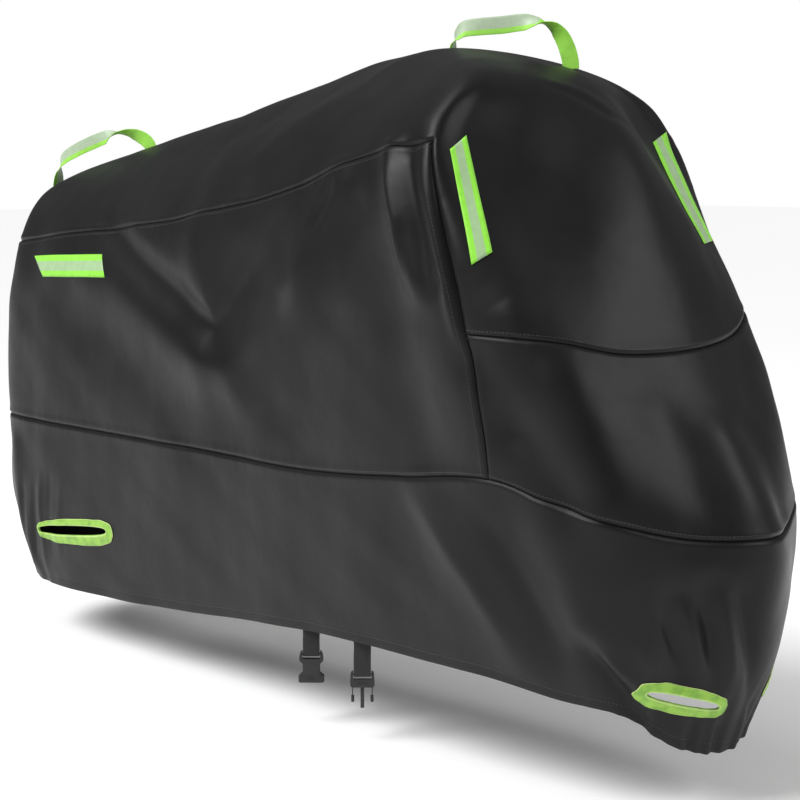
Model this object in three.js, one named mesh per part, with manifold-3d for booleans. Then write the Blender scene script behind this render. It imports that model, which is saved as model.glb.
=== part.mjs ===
// A fitted motorcycle cover: a hood, two side panels, a front panel and a skirt, cut and sewn to
// one hollow shape, with reflective strips, two webbing loops on the ridge, four bound lock holes
// and a belly strap in two halves that end in a side release buckle.
//
// Millimetres. X runs from the tail to the nose, Y to the left, Z up. The shape is laid out in
// heights above the ground, and the outer group then moves the origin to the mount under the top.
import * as THREE from 'three';
import { mergeVertices } from 'three/addons/utils/BufferGeometryUtils.js';
import Module from 'manifold-3d';

const wasm = await Module();
wasm.setup();

const MOUNT = [-380, 0, 1197.8];
const CLOTH = 2;
const CLEARANCE = 0.35;
const TAPE = 1.2;
const BINDING = 2.2;
const WEBBING = 1.8;
const WEBBING_WIDTH = 30;
const VIEW_TURN = THREE.MathUtils.degToRad(47);

// The lines that run round the cover, from its open lower edge up to the ridge, counted from the hem.
const LINES = ['hem', 'belly', 'low', 'waist', 'shoulder', 'crown', 'ridge'];
const HEM = 0;
const LOW = 2;
const WAIST = 3;
const SHOULDER = 4;
const RIDGE = 6;

// A row for each section, from the tail's centre line round one side to the nose. Each column is
// the point where that line crosses the section: along the cover, out from its middle, and up.
const SECTIONS = [
  { hem: [-1646, 0, 124], belly: [-1714, 0, 298], low: [-1698, 0, 464], waist: [-1692, 0, 640],
    shoulder: [-1655, 0, 834], crown: [-1592, 0, 925], ridge: [-1512, 0, 976] },
  { hem: [-1562, 122, 112], belly: [-1622, 143, 288], low: [-1612, 150, 466], waist: [-1610, 152, 645],
    shoulder: [-1562, 148, 838], crown: [-1532, 104, 938], ridge: [-1488, 0, 984] },
  { hem: [-1405, 163, 112], belly: [-1435, 186, 292], low: [-1440, 190, 467], waist: [-1440, 192, 655],
    shoulder: [-1420, 176, 851], crown: [-1400, 104, 960], ridge: [-1390, 0, 1012] },
  { hem: [-1180, 168, 122], belly: [-1180, 192, 298], low: [-1180, 208, 470], waist: [-1180, 210, 665],
    shoulder: [-1180, 195, 875], crown: [-1175, 112, 993], ridge: [-1170, 0, 1054] },
  { hem: [-930, 177, 141], belly: [-930, 205, 305], low: [-930, 225, 474], waist: [-930, 228, 680],
    shoulder: [-930, 214, 898], crown: [-925, 120, 1033], ridge: [-920, 0, 1104] },
  { hem: [-700, 191, 165], belly: [-700, 218, 318], low: [-700, 240, 475], waist: [-700, 246, 698],
    shoulder: [-700, 231, 931], crown: [-700, 132, 1073], ridge: [-700, 0, 1151] },
  { hem: [-490, 203, 179], belly: [-490, 232, 325], low: [-490, 255, 479], waist: [-490, 266, 715],
    shoulder: [-490, 250, 977], crown: [-505, 148, 1111], ridge: [-535, 0, 1186] },
  { hem: [-300, 206, 181], belly: [-270, 243, 335], low: [-250, 272, 500], waist: [-262, 293, 732],
    shoulder: [-310, 270, 1020], crown: [-325, 172, 1131], ridge: [-400, 0, 1200] },
  { hem: [-110, 206, 182], belly: [-72, 248, 345], low: [-30, 285, 523], waist: [-54, 315, 746],
    shoulder: [-150, 290, 1041], crown: [-182, 196, 1130], ridge: [-300, 0, 1192] },
  { hem: [32, 190, 170], belly: [60, 238, 325], low: [70, 266, 500], waist: [28, 284, 744],
    shoulder: [-134, 236, 1044], crown: [-162, 142, 1135], ridge: [-250, 0, 1183] },
  { hem: [134, 166, 162], belly: [164, 212, 305], low: [168, 226, 474], waist: [72, 238, 738],
    shoulder: [-100, 150, 1045], crown: [-130, 82, 1131], ridge: [-222, 0, 1177] },
  { hem: [196, 84, 106], belly: [242, 112, 276], low: [240, 122, 446], waist: [112, 141, 718],
    shoulder: [-38, 70, 1042], crown: [-112, 42, 1126], ridge: [-208, 0, 1174] },
  { hem: [216, 0, 92], belly: [286, 0, 268], low: [292, 0, 440], waist: [136, 0, 718],
    shoulder: [-14, 0, 1040], crown: [-106, 0, 1124], ridge: [-204, 0, 1173] },
];
// On the far side of the front the cross seam sits higher, by section.
const FAR_WAIST = { 9: [16, 277, 764], 10: [58, 234, 752], 11: [104, 140, 728] };
const NOSE = SECTIONS.length - 1;
const ROUND = 2 * NOSE;
const CORNER = 8;

// Facets between one section and the next, and between one line and the next.
const FACETS_AROUND = [3, 3, 5, 6, 6, 5, 5, 5, 3, 3, 3, 3];
const FACETS_UP = [3, 3, 5, 6, 3, 3];

// The main folds, a row for each: the ends of its crest on the cloth, how wide it is, and how far
// it stands out, or in where that is negative.
const FOLDS = [
  { from: [-1110, -199, 853], to: [-758, -241, 697], wide: 50, out: -14 },
  { from: [-598, -235, 939], to: [-664, -239, 824], wide: 40, out: -12 },
  { from: [-664, -239, 824], to: [-758, -241, 697], wide: 42, out: -12 },
  { from: [-830, -232, 880], to: [-802, -246, 770], wide: 55, out: 10 },
  { from: [-1203, -213, 771], to: [-798, -251, 640], wide: 70, out: 11 },
  { from: [-798, -251, 640], to: [-699, -252, 622], wide: 60, out: 9 },
  { from: [-699, -252, 622], to: [-484, -276, 796], wide: 60, out: 11 },
  { from: [-484, -276, 796], to: [-397, -277, 959], wide: 48, out: 11 },
  { from: [-1152, -218, 700], to: [-904, -235, 552], wide: 75, out: -6 },
  { from: [-702, -251, 540], to: [-500, -270, 640], wide: 75, out: -7 },
  { from: [-443, -274, 771], to: [-350, -281, 939], wide: 45, out: -8 },
  { from: [-249, -286, 1021], to: [-166, -314, 824], wide: 30, out: 10 },
  { from: [-199, -296, 1021], to: [-127, -314, 826], wide: 28, out: -10 },
  { from: [-230, -300, 760], to: [-170, -290, 560], wide: 60, out: -7 },
  { from: [-800, -150, 985], to: [-420, -110, 1150], wide: 60, out: 8 },
  { from: [-34, -309, 705], to: [23, -285, 605], wide: 38, out: -10 },
  { from: [23, -285, 605], to: [107, -249, 506], wide: 38, out: -10 },
  { from: [100, -245, 680], to: [150, -232, 500], wide: 45, out: 8 },
  { from: [180, -110, 640], to: [225, -80, 500], wide: 42, out: -7 },
  { from: [234, -30, 600], to: [262, -30, 440], wide: 40, out: 6 },
  { from: [210, 70, 600], to: [240, 60, 470], wide: 42, out: -6 },
  { from: [-177, -274, 485], to: [-32, -224, 249], wide: 50, out: 9 },
  { from: [0, -262, 430], to: [50, -225, 260], wide: 42, out: -8 },
  { from: [67, -264, 492], to: [122, -229, 320], wide: 42, out: 8 },
  { from: [112, -212, 268], to: [162, -150, 166], wide: 28, out: -8 },
  { from: [229, -146, 355], to: [224, -120, 235], wide: 24, out: -8 },
  { from: [258, -100, 369], to: [246, -72, 225], wide: 24, out: -7 },
  { from: [281, -56, 349], to: [246, 20, 166], wide: 26, out: -7 },
  { from: [-1608, -150, 400], to: [-1590, -140, 170], wide: 26, out: -7 },
  { from: [-1545, -168, 400], to: [-1530, -150, 150], wide: 26, out: 6 },
  { from: [-1690, 40, 800], to: [-1715, 20, 420], wide: 45, out: -7 },
  { from: [-1070, 203, 850], to: [-790, 240, 690], wide: 55, out: -12 },
  { from: [-620, 236, 940], to: [-760, 242, 700], wide: 48, out: -13 },
  { from: [-800, 248, 640], to: [-470, 276, 800], wide: 66, out: 11 },
  { from: [-1190, 213, 760], to: [-820, 246, 640], wide: 72, out: 9 },
  { from: [-230, 290, 1010], to: [-160, 312, 790], wide: 32, out: 9 },
  { from: [-780, 150, 990], to: [-440, 110, 1140], wide: 60, out: 7 },
  { from: [10, 290, 640], to: [110, 249, 500], wide: 40, out: -9 },
  { from: [-150, 268, 470], to: [-20, 226, 250], wide: 50, out: 8 },
  { from: [60, 262, 470], to: [115, 225, 300], wide: 42, out: -7 },
  { from: [229, 146, 355], to: [224, 120, 235], wide: 24, out: -7 },
  { from: [-1608, 150, 400], to: [-1590, 140, 170], wide: 26, out: -6 },
];

// Half of the gap at a seam, as a share of the way from one line or section to the next.
const SEAM_UP = 0.001;
const SEAM_AROUND = 0.0015;

const vector = ([x, y, z]) => new THREE.Vector3(x, y, z);
const mirrored = (point) => new THREE.Vector3(point.x, -point.y, point.z);
const folds = FOLDS.map(({ from, to, wide, out }) => (
  { crest: new THREE.Line3(vector(from), vector(to)), wide, out }));

// A section as one smooth curve from the near hem, over the ridge, to the far hem.
function rib(section, side) {
  const near = LINES.map((line) => {
    const [along, out, up] = section[line];
    return new THREE.Vector3(along, side * out, up);
  });
  const far = near.slice(0, RIDGE).reverse().map(mirrored);
  return new THREE.CatmullRomCurve3([...near, ...far], false, 'centripetal');
}

const farSections = SECTIONS.map((section, index) => (
  { ...section, waist: FAR_WAIST[index] ?? section.waist }));
const ribs = [
  ...SECTIONS.map((section) => rib(section, -1)),
  ...farSections.slice(1, NOSE).reverse().map((section) => rib(section, 1)),
];

const loops = new Map();

// The smooth closed curve round the cover at a height, in lines above the hem.
function loopAt(up) {
  if (!loops.has(up)) {
    const points = ribs.map((curve) => curve.getPoint(up / (2 * RIDGE)));
    loops.set(up, new THREE.CatmullRomCurve3(points, true, 'centripetal'));
  }
  return loops.get(up);
}

function smoothPoint(around, up) {
  const turn = ((around % ROUND) + ROUND) % ROUND;
  return loopAt(up).getPoint(turn / ROUND);
}

// The way out of the unfolded cloth. At the ridge's two ends it is taken a little below them.
function smoothNormal(around, up) {
  const step = 0.02;
  const below = Math.min(up, RIDGE - 2 * step);
  const along = smoothPoint(around + step, below).sub(smoothPoint(around - step, below));
  const rise = smoothPoint(around, below + step).sub(smoothPoint(around, Math.max(below - step, 0)));
  const normal = along.cross(rise);
  if (up === RIDGE) normal.y = 0;
  return normal.normalize();
}

function foldAt(point) {
  const nearest = new THREE.Vector3();
  return folds.reduce((sum, { crest, wide, out }) => {
    crest.closestPointToPoint(point, true, nearest);
    return sum + out * Math.exp(-((nearest.distanceTo(point) / wide) ** 2));
  }, 0);
}

// The outer face of the cloth, with its folds.
function clothPoint(around, up) {
  const point = smoothPoint(around, up);
  return point.addScaledVector(smoothNormal(around, up), foldAt(point));
}

// The places of the facets' corners, from one end to the other.
function stops(facets) {
  const places = [0];
  facets.forEach((count, index) => {
    for (let step = 1; step <= count; step += 1) places.push(index + step / count);
  });
  return places;
}

const upStops = stops(FACETS_UP);
const aroundStops = stops([...FACETS_AROUND, ...[...FACETS_AROUND].reverse()]);

const nearestStop = (places, value) => places.reduce((best, place) => (
  Math.abs(place - value) < Math.abs(best - value) ? place : best));

// One name for each point of the cloth: the round closes on itself, and both sides share the ridge.
function cornerName(around, up) {
  let turn = around >= ROUND ? around - ROUND : around;
  if (up === RIDGE) turn = Math.min(turn, ROUND - turn);
  return `${turn.toFixed(5)} ${up.toFixed(5)}`;
}

// Normals averaged over the facets that meet at each corner, the same on both sides of a seam.
function averageNormals() {
  const sums = new Map();
  const corner = (around, up) => {
    const name = cornerName(around, up);
    if (!sums.has(name)) sums.set(name, { point: clothPoint(around, up), normal: new THREE.Vector3() });
    return sums.get(name);
  };
  for (let i = 0; i + 1 < aroundStops.length; i += 1) {
    for (let j = 0; j + 1 < upStops.length; j += 1) {
      const ring = [
        corner(aroundStops[i], upStops[j]), corner(aroundStops[i + 1], upStops[j]),
        corner(aroundStops[i + 1], upStops[j + 1]), corner(aroundStops[i], upStops[j + 1]),
      ];
      const first = ring[2].point.clone().sub(ring[0].point);
      const second = ring[3].point.clone().sub(ring[1].point);
      const facing = first.cross(second);
      ring.forEach((each) => each.normal.add(facing));
    }
  }
  sums.forEach(({ normal }) => normal.normalize());
  return sums;
}

const normals = averageNormals();

function normalAt(around, up) {
  const name = cornerName(nearestStop(aroundStops, around), nearestStop(upStops, up));
  return normals.get(name).normal;
}

// The stops from one value to another, with the two values in place of the stops nearest to them.
function stopsBetween(places, from, to) {
  const margin = 0.01;
  const inner = places.filter((place) => place > from + margin && place < to - margin);
  return [from, ...inner, to];
}

function geometryOf(points, triangles) {
  const geometry = new THREE.BufferGeometry();
  const flat = points.flatMap((point) => point.toArray());
  geometry.setAttribute('position', new THREE.Float32BufferAttribute(flat, 3));
  geometry.setIndex(triangles.flat());
  return geometry;
}

// A closed layer of cloth over one or more patches, between two distances out from its outer face.
function layer(patches, outer, inner) {
  const points = [];
  const places = new Map();
  const place = (around, up) => {
    const name = cornerName(around, up);
    if (!places.has(name)) {
      const point = clothPoint(around, up);
      const normal = normalAt(around, up);
      places.set(name, points.length);
      points.push(point.clone().addScaledVector(normal, outer));
      points.push(point.clone().addScaledVector(normal, inner));
    }
    return places.get(name);
  };
  const faces = [];
  patches.forEach(({ around, up }) => {
    const columns = around.slice(1).flatMap((to, index) => (
      stopsBetween(aroundStops, around[index], to).slice(index ? 1 : 0)));
    const rows = stopsBetween(upStops, ...up);
    for (let i = 0; i + 1 < columns.length; i += 1) {
      for (let j = 0; j + 1 < rows.length; j += 1) {
        const a = place(columns[i], rows[j]);
        const b = place(columns[i + 1], rows[j]);
        const c = place(columns[i + 1], rows[j + 1]);
        const d = place(columns[i], rows[j + 1]);
        faces.push([a, b, c], [a, c, d]);
      }
    }
  });
  const solidFaces = faces.filter(([a, b, c]) => a !== b && b !== c && c !== a);
  const edges = new Map();
  solidFaces.forEach(([a, b, c]) => [[a, b], [b, c], [c, a]].forEach(([p, q]) => {
    const back = `${q} ${p}`;
    if (edges.has(back)) edges.delete(back);
    else edges.set(`${p} ${q}`, [p, q]);
  }));
  const triangles = [];
  solidFaces.forEach(([a, b, c]) => triangles.push([a, b, c], [c + 1, b + 1, a + 1]));
  edges.forEach(([p, q]) => triangles.push([q, p, p + 1], [q, p + 1, q + 1]));
  return geometryOf(points, triangles);
}

function solidOf(geometry) {
  const bare = geometry.clone();
  bare.deleteAttribute('normal');
  bare.deleteAttribute('uv');
  const merged = mergeVertices(bare, 1e-4);
  return new wasm.Manifold(new wasm.Mesh({
    numProp: 3,
    vertProperties: new Float32Array(merged.getAttribute('position').array),
    triVerts: new Uint32Array(merged.getIndex().array),
  }));
}

// Points nearer than a fiftieth of a millimetre are joined, so that no sliver is left.
function geometryFrom(solid) {
  const mesh = solid.simplify(0.02).getMesh();
  const geometry = new THREE.BufferGeometry();
  geometry.setAttribute('position', new THREE.Float32BufferAttribute(mesh.vertProperties, 3));
  geometry.setIndex([...mesh.triVerts]);
  return geometry;
}

// A flat outline pushed both ways through the cloth. Its points run anticlockwise seen from outside.
function punch(outline, outward, reach) {
  const points = outline.flatMap((point) => [
    point.clone().addScaledVector(outward, reach),
    point.clone().addScaledVector(outward, -reach),
  ]);
  const count = outline.length;
  const triangles = [];
  for (let i = 0; i < count; i += 1) {
    const a = 2 * i;
    const b = 2 * ((i + 1) % count);
    triangles.push([a, a + 1, b + 1], [a, b + 1, b]);
    if (i > 1) triangles.push([0, a - 2, a], [1, a + 1, a - 1]);
  }
  return solidOf(geometryOf(points, triangles));
}

// The same path with more rows, along a smooth curve through the given ones.
function smoothRows(rows, steps) {
  const path = new THREE.CatmullRomCurve3(rows.map(({ at }) => at), false, 'centripetal');
  const count = steps * (rows.length - 1);
  return Array.from({ length: count + 1 }, (_, index) => {
    const row = Math.min(Math.floor(index / steps), rows.length - 2);
    const across = rows[row].across.clone().lerp(rows[row + 1].across, index / steps - row);
    return { at: path.getPoint(index / count), across };
  });
}

// A flat ribbon through rows of a place and the direction of its width. Its front and back are split
// along the same diagonals, so that they stay apart where it twists.
function ribbon(rows, width, thick) {
  const points = rows.flatMap(({ at, across }, index) => {
    const before = rows[Math.max(index - 1, 0)].at;
    const after = rows[Math.min(index + 1, rows.length - 1)].at;
    const tangent = after.clone().sub(before).normalize();
    const wide = across.clone().addScaledVector(tangent, -across.dot(tangent)).normalize();
    const face = tangent.clone().cross(wide);
    return [[-1, -1], [1, -1], [1, 1], [-1, 1]].map(([side, deep]) => at.clone()
      .addScaledVector(wide, side * width / 2)
      .addScaledVector(face, deep * thick / 2));
  });
  const triangles = [[0, 2, 1], [0, 3, 2]];
  for (let i = 0; i + 1 < rows.length; i += 1) {
    for (let k = 0; k < 4; k += 1) {
      const a = 4 * i + k;
      const b = 4 * i + ((k + 1) % 4);
      if (k === 2) triangles.push([a, b, a + 4], [b, b + 4, a + 4]);
      else triangles.push([a, b, b + 4], [a, b + 4, a + 4]);
    }
  }
  const end = 4 * (rows.length - 1);
  triangles.push([end, end + 1, end + 2], [end, end + 2, end + 3]);
  return geometryOf(points, triangles);
}

const nearSide = [SEAM_AROUND, CORNER - SEAM_AROUND];
const farSide = [ROUND - CORNER + SEAM_AROUND, ROUND - SEAM_AROUND];
const frontSpan = [CORNER + SEAM_AROUND, ROUND - CORNER - SEAM_AROUND];
const sideRise = [LOW + SEAM_UP, SHOULDER - SEAM_UP];

const PANELS = {
  hood: [
    { around: [0, ...frontSpan, ROUND], up: [SHOULDER + SEAM_UP, RIDGE] },
    { around: frontSpan, up: [WAIST + SEAM_UP, SHOULDER + SEAM_UP] },
  ],
  side_panel_right: [{ around: nearSide, up: sideRise }],
  side_panel_left: [{ around: farSide, up: sideRise }],
  front_panel: [{ around: frontSpan, up: [LOW + SEAM_UP, WAIST - SEAM_UP] }],
  skirt: [{ around: [SEAM_AROUND, ROUND - SEAM_AROUND], up: [HEM, LOW - SEAM_UP] }],
};

// The reflective strips: their panel, and their corners on the cloth, anticlockwise from outside.
const STRIPS = {
  strip_side_right: { panel: 'side_panel_right', corners: [
    [-1404, -193, 769], [-1147, -218, 780], [-1170, -208, 824], [-1459, -183, 810]] },
  strip_side_left: { panel: 'side_panel_left', corners: [
    [-1459, 183, 810], [-1170, 208, 824], [-1147, 218, 780], [-1404, 193, 769]] },
  strip_front_right: { panel: 'hood', corners: [
    [-51, -302, 851], [-32, -276, 872], [-130, -235, 1050], [-129, -272, 1027]] },
  strip_front_left: { panel: 'hood', corners: [
    [2, 172, 862], [-24, 252, 875], [-145, 264, 1055], [-120, 192, 1033]] },
};
const STRIP_REACH = 45;

// The lock holes: the middle of each slot on the cloth, the direction of its length as seen from
// outside, its length and height, and the width of the binding round it.
const LOCK_HOLES = {
  binding_front_right: { centre: [206, -101, 192], run: [0.48, 0.85, -0.24], long: 121, tall: 21, bound: 15 },
  binding_front_left: { centre: [206, 101, 192], run: [-0.48, 0.85, 0.24], long: 121, tall: 21, bound: 15 },
  binding_rear_right: { centre: [-1334, -184, 248], run: [1, -0.07, 0.13], long: 268, tall: 22, bound: 22 },
  binding_rear_left: { centre: [-1334, 184, 248], run: [-1, -0.07, -0.13], long: 268, tall: 22, bound: 22 },
};
const HOLE_REACH = 60;
const HOLE_SIDES = 20;

// The webbing loops on the ridge: at each place along a loop, the direction of its width along the
// run, across it and up.
const LOOP_ACROSS = [
  [0, 1, 0], [-0.1, 0.9, 0.3], [-0.3, 0.6, 0.7], [-0.3, 0.3, 0.9], [-0.1, 0.1, 1], [0, 0, 1],
  [0, 0.2, 1], [0.1, 0.9, 0.5], [-0.3, 0.9, -0.2], [-0.8, 0.5, -0.4], [-1, 0.2, -0.4], [-1, 0, -0.2],
  [-1, 0, -0.1], [-1, 0, 0],
];
// Each loop's two feet, and how far along the run each place is and how high above it.
const LOOPS = {
  loop_front: {
    rear: [-396, -4, 1200],
    front: [-190, 70, 1168],
    rows: [
      [0, -6], [0.01, 8], [0.035, 21], [0.09, 34], [0.2, 41], [0.42, 50], [0.6, 59], [0.72, 62],
      [0.79, 60], [0.87, 54], [0.93, 42], [0.975, 23], [1, 4], [1.003, -8],
    ],
  },
  loop_rear: {
    rear: [-1560, -50, 958],
    front: [-1280, -4, 1034],
    rows: [
      [0, -6], [0.008, 12], [0.022, 30], [0.06, 46], [0.2, 54], [0.4, 57], [0.52, 57], [0.6, 56],
      [0.68, 52], [0.77, 44], [0.86, 33], [0.94, 18], [0.985, 4], [1.003, -8],
    ],
  },
};

// The two halves of the belly strap: where each leaves the hem, and how far it hangs below it.
const STRAPS = {
  strap_socket: { around: 5.6, hang: 47 },
  strap_plug: { around: 6.32, hang: 61 },
};

const cloth = { color: 0x2b2b2c, roughness: 0.72, metalness: 0 };
const reflective = { color: 0x9be23c, roughness: 0.55, metalness: 0 };
const webbing = { color: 0x151515, roughness: 0.85, metalness: 0 };
const plastic = { color: 0x1b1b1c, roughness: 0.45, metalness: 0 };

const cover = new THREE.Group();

function add(name, geometry, finish) {
  const mesh = new THREE.Mesh(geometry, new THREE.MeshStandardMaterial(finish));
  mesh.name = name;
  cover.add(mesh);
}

// The unit vectors of a slot: along it, up across it, and out of the cloth.
function slotAxes(run, centre) {
  const along = vector(run).normalize();
  const up = new THREE.Vector3(0, 0, 1);
  const outward = along.clone().cross(up).normalize();
  if (outward.dot(vector(centre).setX(0).setZ(0)) < 0) outward.negate();
  return { along, rise: outward.clone().cross(along).normalize(), outward };
}

// The slot's rounded outline, grown by a margin. Its ends are fuller than an ellipse's.
function slotOutline({ centre, run, long, tall }, margin) {
  const { along, rise } = slotAxes(run, centre);
  const squareness = 0.7;
  return Array.from({ length: HOLE_SIDES }, (_, index) => {
    const angle = (2 * Math.PI * index) / HOLE_SIDES;
    const across = Math.sign(Math.cos(angle)) * Math.abs(Math.cos(angle)) ** squareness;
    const over = Math.sign(Math.sin(angle)) * Math.abs(Math.sin(angle)) ** squareness;
    return vector(centre)
      .addScaledVector(along, across * (long / 2 + margin))
      .addScaledVector(rise, over * (tall / 2 + margin));
  });
}

function lockHole(hole, margin) {
  return punch(slotOutline(hole, margin), slotAxes(hole.run, hole.centre).outward, HOLE_REACH);
}

const holes = Object.values(LOCK_HOLES);
const edgeHidden = 1;
const skirt = holes.reduce(
  (left, hole) => left.subtract(lockHole(hole, edgeHidden)),
  solidOf(layer(PANELS.skirt, 0, -CLOTH)));

Object.keys(PANELS).forEach((name) => {
  const geometry = name === 'skirt' ? geometryFrom(skirt) : layer(PANELS[name], 0, -CLOTH);
  add(name, geometry, cloth);
});

Object.entries(STRIPS).forEach(([name, { panel, corners }]) => {
  const outline = corners.map(vector);
  const facing = outline[2].clone().sub(outline[0]).cross(outline[3].clone().sub(outline[1]));
  const over = solidOf(layer(PANELS[panel], CLEARANCE + TAPE, CLEARANCE));
  add(name, geometryFrom(over.intersect(punch(outline, facing.normalize(), STRIP_REACH))), reflective);
});

const overSkirt = solidOf(layer(PANELS.skirt, CLEARANCE + BINDING, CLEARANCE));
Object.entries(LOCK_HOLES).forEach(([name, hole]) => {
  const ring = overSkirt.intersect(lockHole(hole, hole.bound)).subtract(lockHole(hole, 0));
  add(name, geometryFrom(ring), reflective);
});

// The hood with the room below it that a loop's feet are cut away from.
const ROOT = 20;
const LOOP_STEPS = 2;
const hoodClear = solidOf(layer(PANELS.hood, CLEARANCE, -ROOT));
Object.entries(LOOPS).forEach(([name, { rear, front, rows: places }]) => {
  const start = vector(rear);
  const span = vector(front).sub(start);
  const along = span.clone().setZ(0).normalize();
  const aside = new THREE.Vector3(-along.y, along.x, 0);
  const rows = places.map(([run, up], index) => {
    const [onward, sideways, upward] = LOOP_ACROSS[index];
    return {
      at: start.clone().addScaledVector(span, run).add(new THREE.Vector3(0, 0, up)),
      across: along.clone().multiplyScalar(onward).addScaledVector(aside, sideways)
        .add(new THREE.Vector3(0, 0, upward)),
    };
  });
  const band = solidOf(ribbon(smoothRows(rows, LOOP_STEPS), WEBBING_WIDTH, TAPE));
  add(name, geometryFrom(band.subtract(hoodClear)), reflective);
});

// A webbing strap that is sewn inside the skirt, turns towards the corner of the cover on its way
// down to the hem, hangs, goes round the buckle's bar and comes back up behind itself.
const SEWN_AT = [0.62, 0.52];
const TURNING = [0.75, 0.5, 0.25];
const HANGS_INSIDE = 16;
const BAR_LOOP = 3.6;
const BAR_STEPS = 6;
const RETURN_LENGTH = 16;
const HEM_STEP = 0.05;
const faceTurn = new THREE.Vector3(Math.cos(VIEW_TURN), Math.sin(VIEW_TURN), 0);
const faceOut = new THREE.Vector3(Math.sin(VIEW_TURN), -Math.cos(VIEW_TURN), 0);

function insideAt(around, up, depth) {
  return clothPoint(around, up).addScaledVector(normalAt(around, up).clone().setZ(0).normalize(), -depth);
}

function strapBar({ around, hang }) {
  const hem = insideAt(around, HEM, HANGS_INSIDE);
  return hem.setZ(hem.z - hang).addScaledVector(faceOut, -BAR_LOOP);
}

function strapRows(strap) {
  const { around, hang } = strap;
  const after = clothPoint(around + HEM_STEP, HEM);
  const along = after.sub(clothPoint(around - HEM_STEP, HEM)).setZ(0).normalize();
  const flat = CLOTH + CLEARANCE + WEBBING;
  const sewn = SEWN_AT.map((up) => ({ at: insideAt(around, up, flat), across: along }));
  const hem = insideAt(around, HEM, HANGS_INSIDE);
  const turning = TURNING.map((share) => ({
    at: hem.clone().lerp(sewn[1].at, share), across: along.clone().lerp(faceTurn, 1 - share) }));
  const hanging = [hem, hem.clone().setZ(hem.z - hang / 2)].map((at) => ({ at, across: faceTurn }));
  const bar = strapBar(strap);
  const round = Array.from({ length: BAR_STEPS + 1 }, (_, index) => {
    const angle = (Math.PI * index) / BAR_STEPS;
    return { at: bar.clone().addScaledVector(faceOut, BAR_LOOP * Math.cos(angle))
      .setZ(bar.z - BAR_LOOP * Math.sin(angle)), across: faceTurn };
  });
  const tail = { at: round[BAR_STEPS].at.clone().setZ(bar.z + RETURN_LENGTH), across: faceTurn };
  return [...sewn, ...turning, ...hanging, ...round, tail];
}

Object.entries(STRAPS).forEach(([name, strap]) => {
  add(name, ribbon(strapRows(strap), WEBBING_WIDTH, WEBBING), webbing);
});

// The buckle, in heights from the middle of the bar that its strap goes round. An outline is the right
// half of a plate seen from the front, from its top to its bottom, and the plate is thin at its bar.
const BAR = { half: 1.7, deep: 3.2, recess: 6 };
const WINDOWS = [{ wide: 32, from: BAR.half, to: 9.7 }, { wide: 32, from: -8.1, to: -BAR.half }];
const SOCKET = {
  deep: 11,
  recessed: 40,
  outline: [
    [17.5, 6], [20, 2], [21.5, -4], [21.5, -12], [18, -15], [15.5, -18], [15.5, -33], [19, -36],
    [23, -39], [23, -50], [21, -52],
  ],
  mouth: [
    { wide: 25, deep: 7, from: -53, to: -23 },
    { wide: 34, deep: 7, from: -54, to: -38 },
    { wide: 44, deep: 6, from: -34, to: -20 },
  ],
};
const PLUG = {
  deep: 7,
  recessed: 36,
  outline: [[18.5, 6], [20.5, 2], [21.5, -14], [21, -20], [18.5, -23]],
  prongs: [
    { wide: 6.4, deep: 5, from: -59.5, to: -22.5 },
    { wide: 1.8, deep: 4, from: -38, to: -22, x: -17.2 },
    { wide: 1.8, deep: 4, from: -38, to: -22, x: 17.2 },
    { wide: 5.4, deep: 5, from: -49, to: -37, x: -16.8 },
    { wide: 5.4, deep: 5, from: -49, to: -37, x: 16.8 },
  ],
};

function block({ wide, deep, from, to, x = 0, y = 0 }) {
  return solidOf(new THREE.BoxGeometry(wide, deep, to - from).translate(x, y, (from + to) / 2));
}

function plate({ outline, deep }) {
  const right = outline.map(([x, z]) => new THREE.Vector2(x, z));
  const left = outline.map(([x, z]) => new THREE.Vector2(-x, z)).reverse();
  const options = { depth: deep, bevelEnabled: false };
  const geometry = new THREE.ExtrudeGeometry(new THREE.Shape([...right, ...left]), options);
  return solidOf(geometry.translate(0, 0, -deep / 2).rotateX(Math.PI / 2));
}

// A plate with the two windows that the strap passes, and thinned before and behind its bar.
function barred(half) {
  const windows = WINDOWS.map((window) => block({ ...window, deep: 2 * half.deep }));
  const thinned = [-1, 1].map((side) => block({
    wide: half.recessed, deep: half.deep, from: -BAR.recess, to: BAR.recess,
    y: side * (half.deep + BAR.deep) / 2 }));
  return [...windows, ...thinned].reduce((left, cut) => left.subtract(cut), plate(half));
}

function placed(solid, strap) {
  const bar = strapBar(strap);
  return geometryFrom(solid).rotateZ(VIEW_TURN).translate(bar.x, bar.y, bar.z);
}

const socket = SOCKET.mouth.reduce((left, cut) => left.subtract(block(cut)), barred(SOCKET));
add('buckle_socket', placed(socket, STRAPS.strap_socket), plastic);
const plug = PLUG.prongs.reduce((whole, prong) => whole.add(block(prong)), barred(PLUG));
add('buckle_plug', placed(plug, STRAPS.strap_plug), plastic);

cover.position.set(-MOUNT[0], -MOUNT[1], -MOUNT[2]);
const part = new THREE.Group();
part.add(cover);

export default part;
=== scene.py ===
"""A fitted motorcycle cover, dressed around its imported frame: cloth panels with their folds and seams,
reflective strips, webbing loops, bound lock holes, and a belly strap with its buckle."""

import logging
import math
from dataclasses import dataclass, field
from enum import Enum, Flag, auto

import bmesh
import bpy
import numpy as np
from mathutils import Matrix, Vector
from mathutils.bvhtree import BVHTree
from mathutils.kdtree import KDTree


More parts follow.
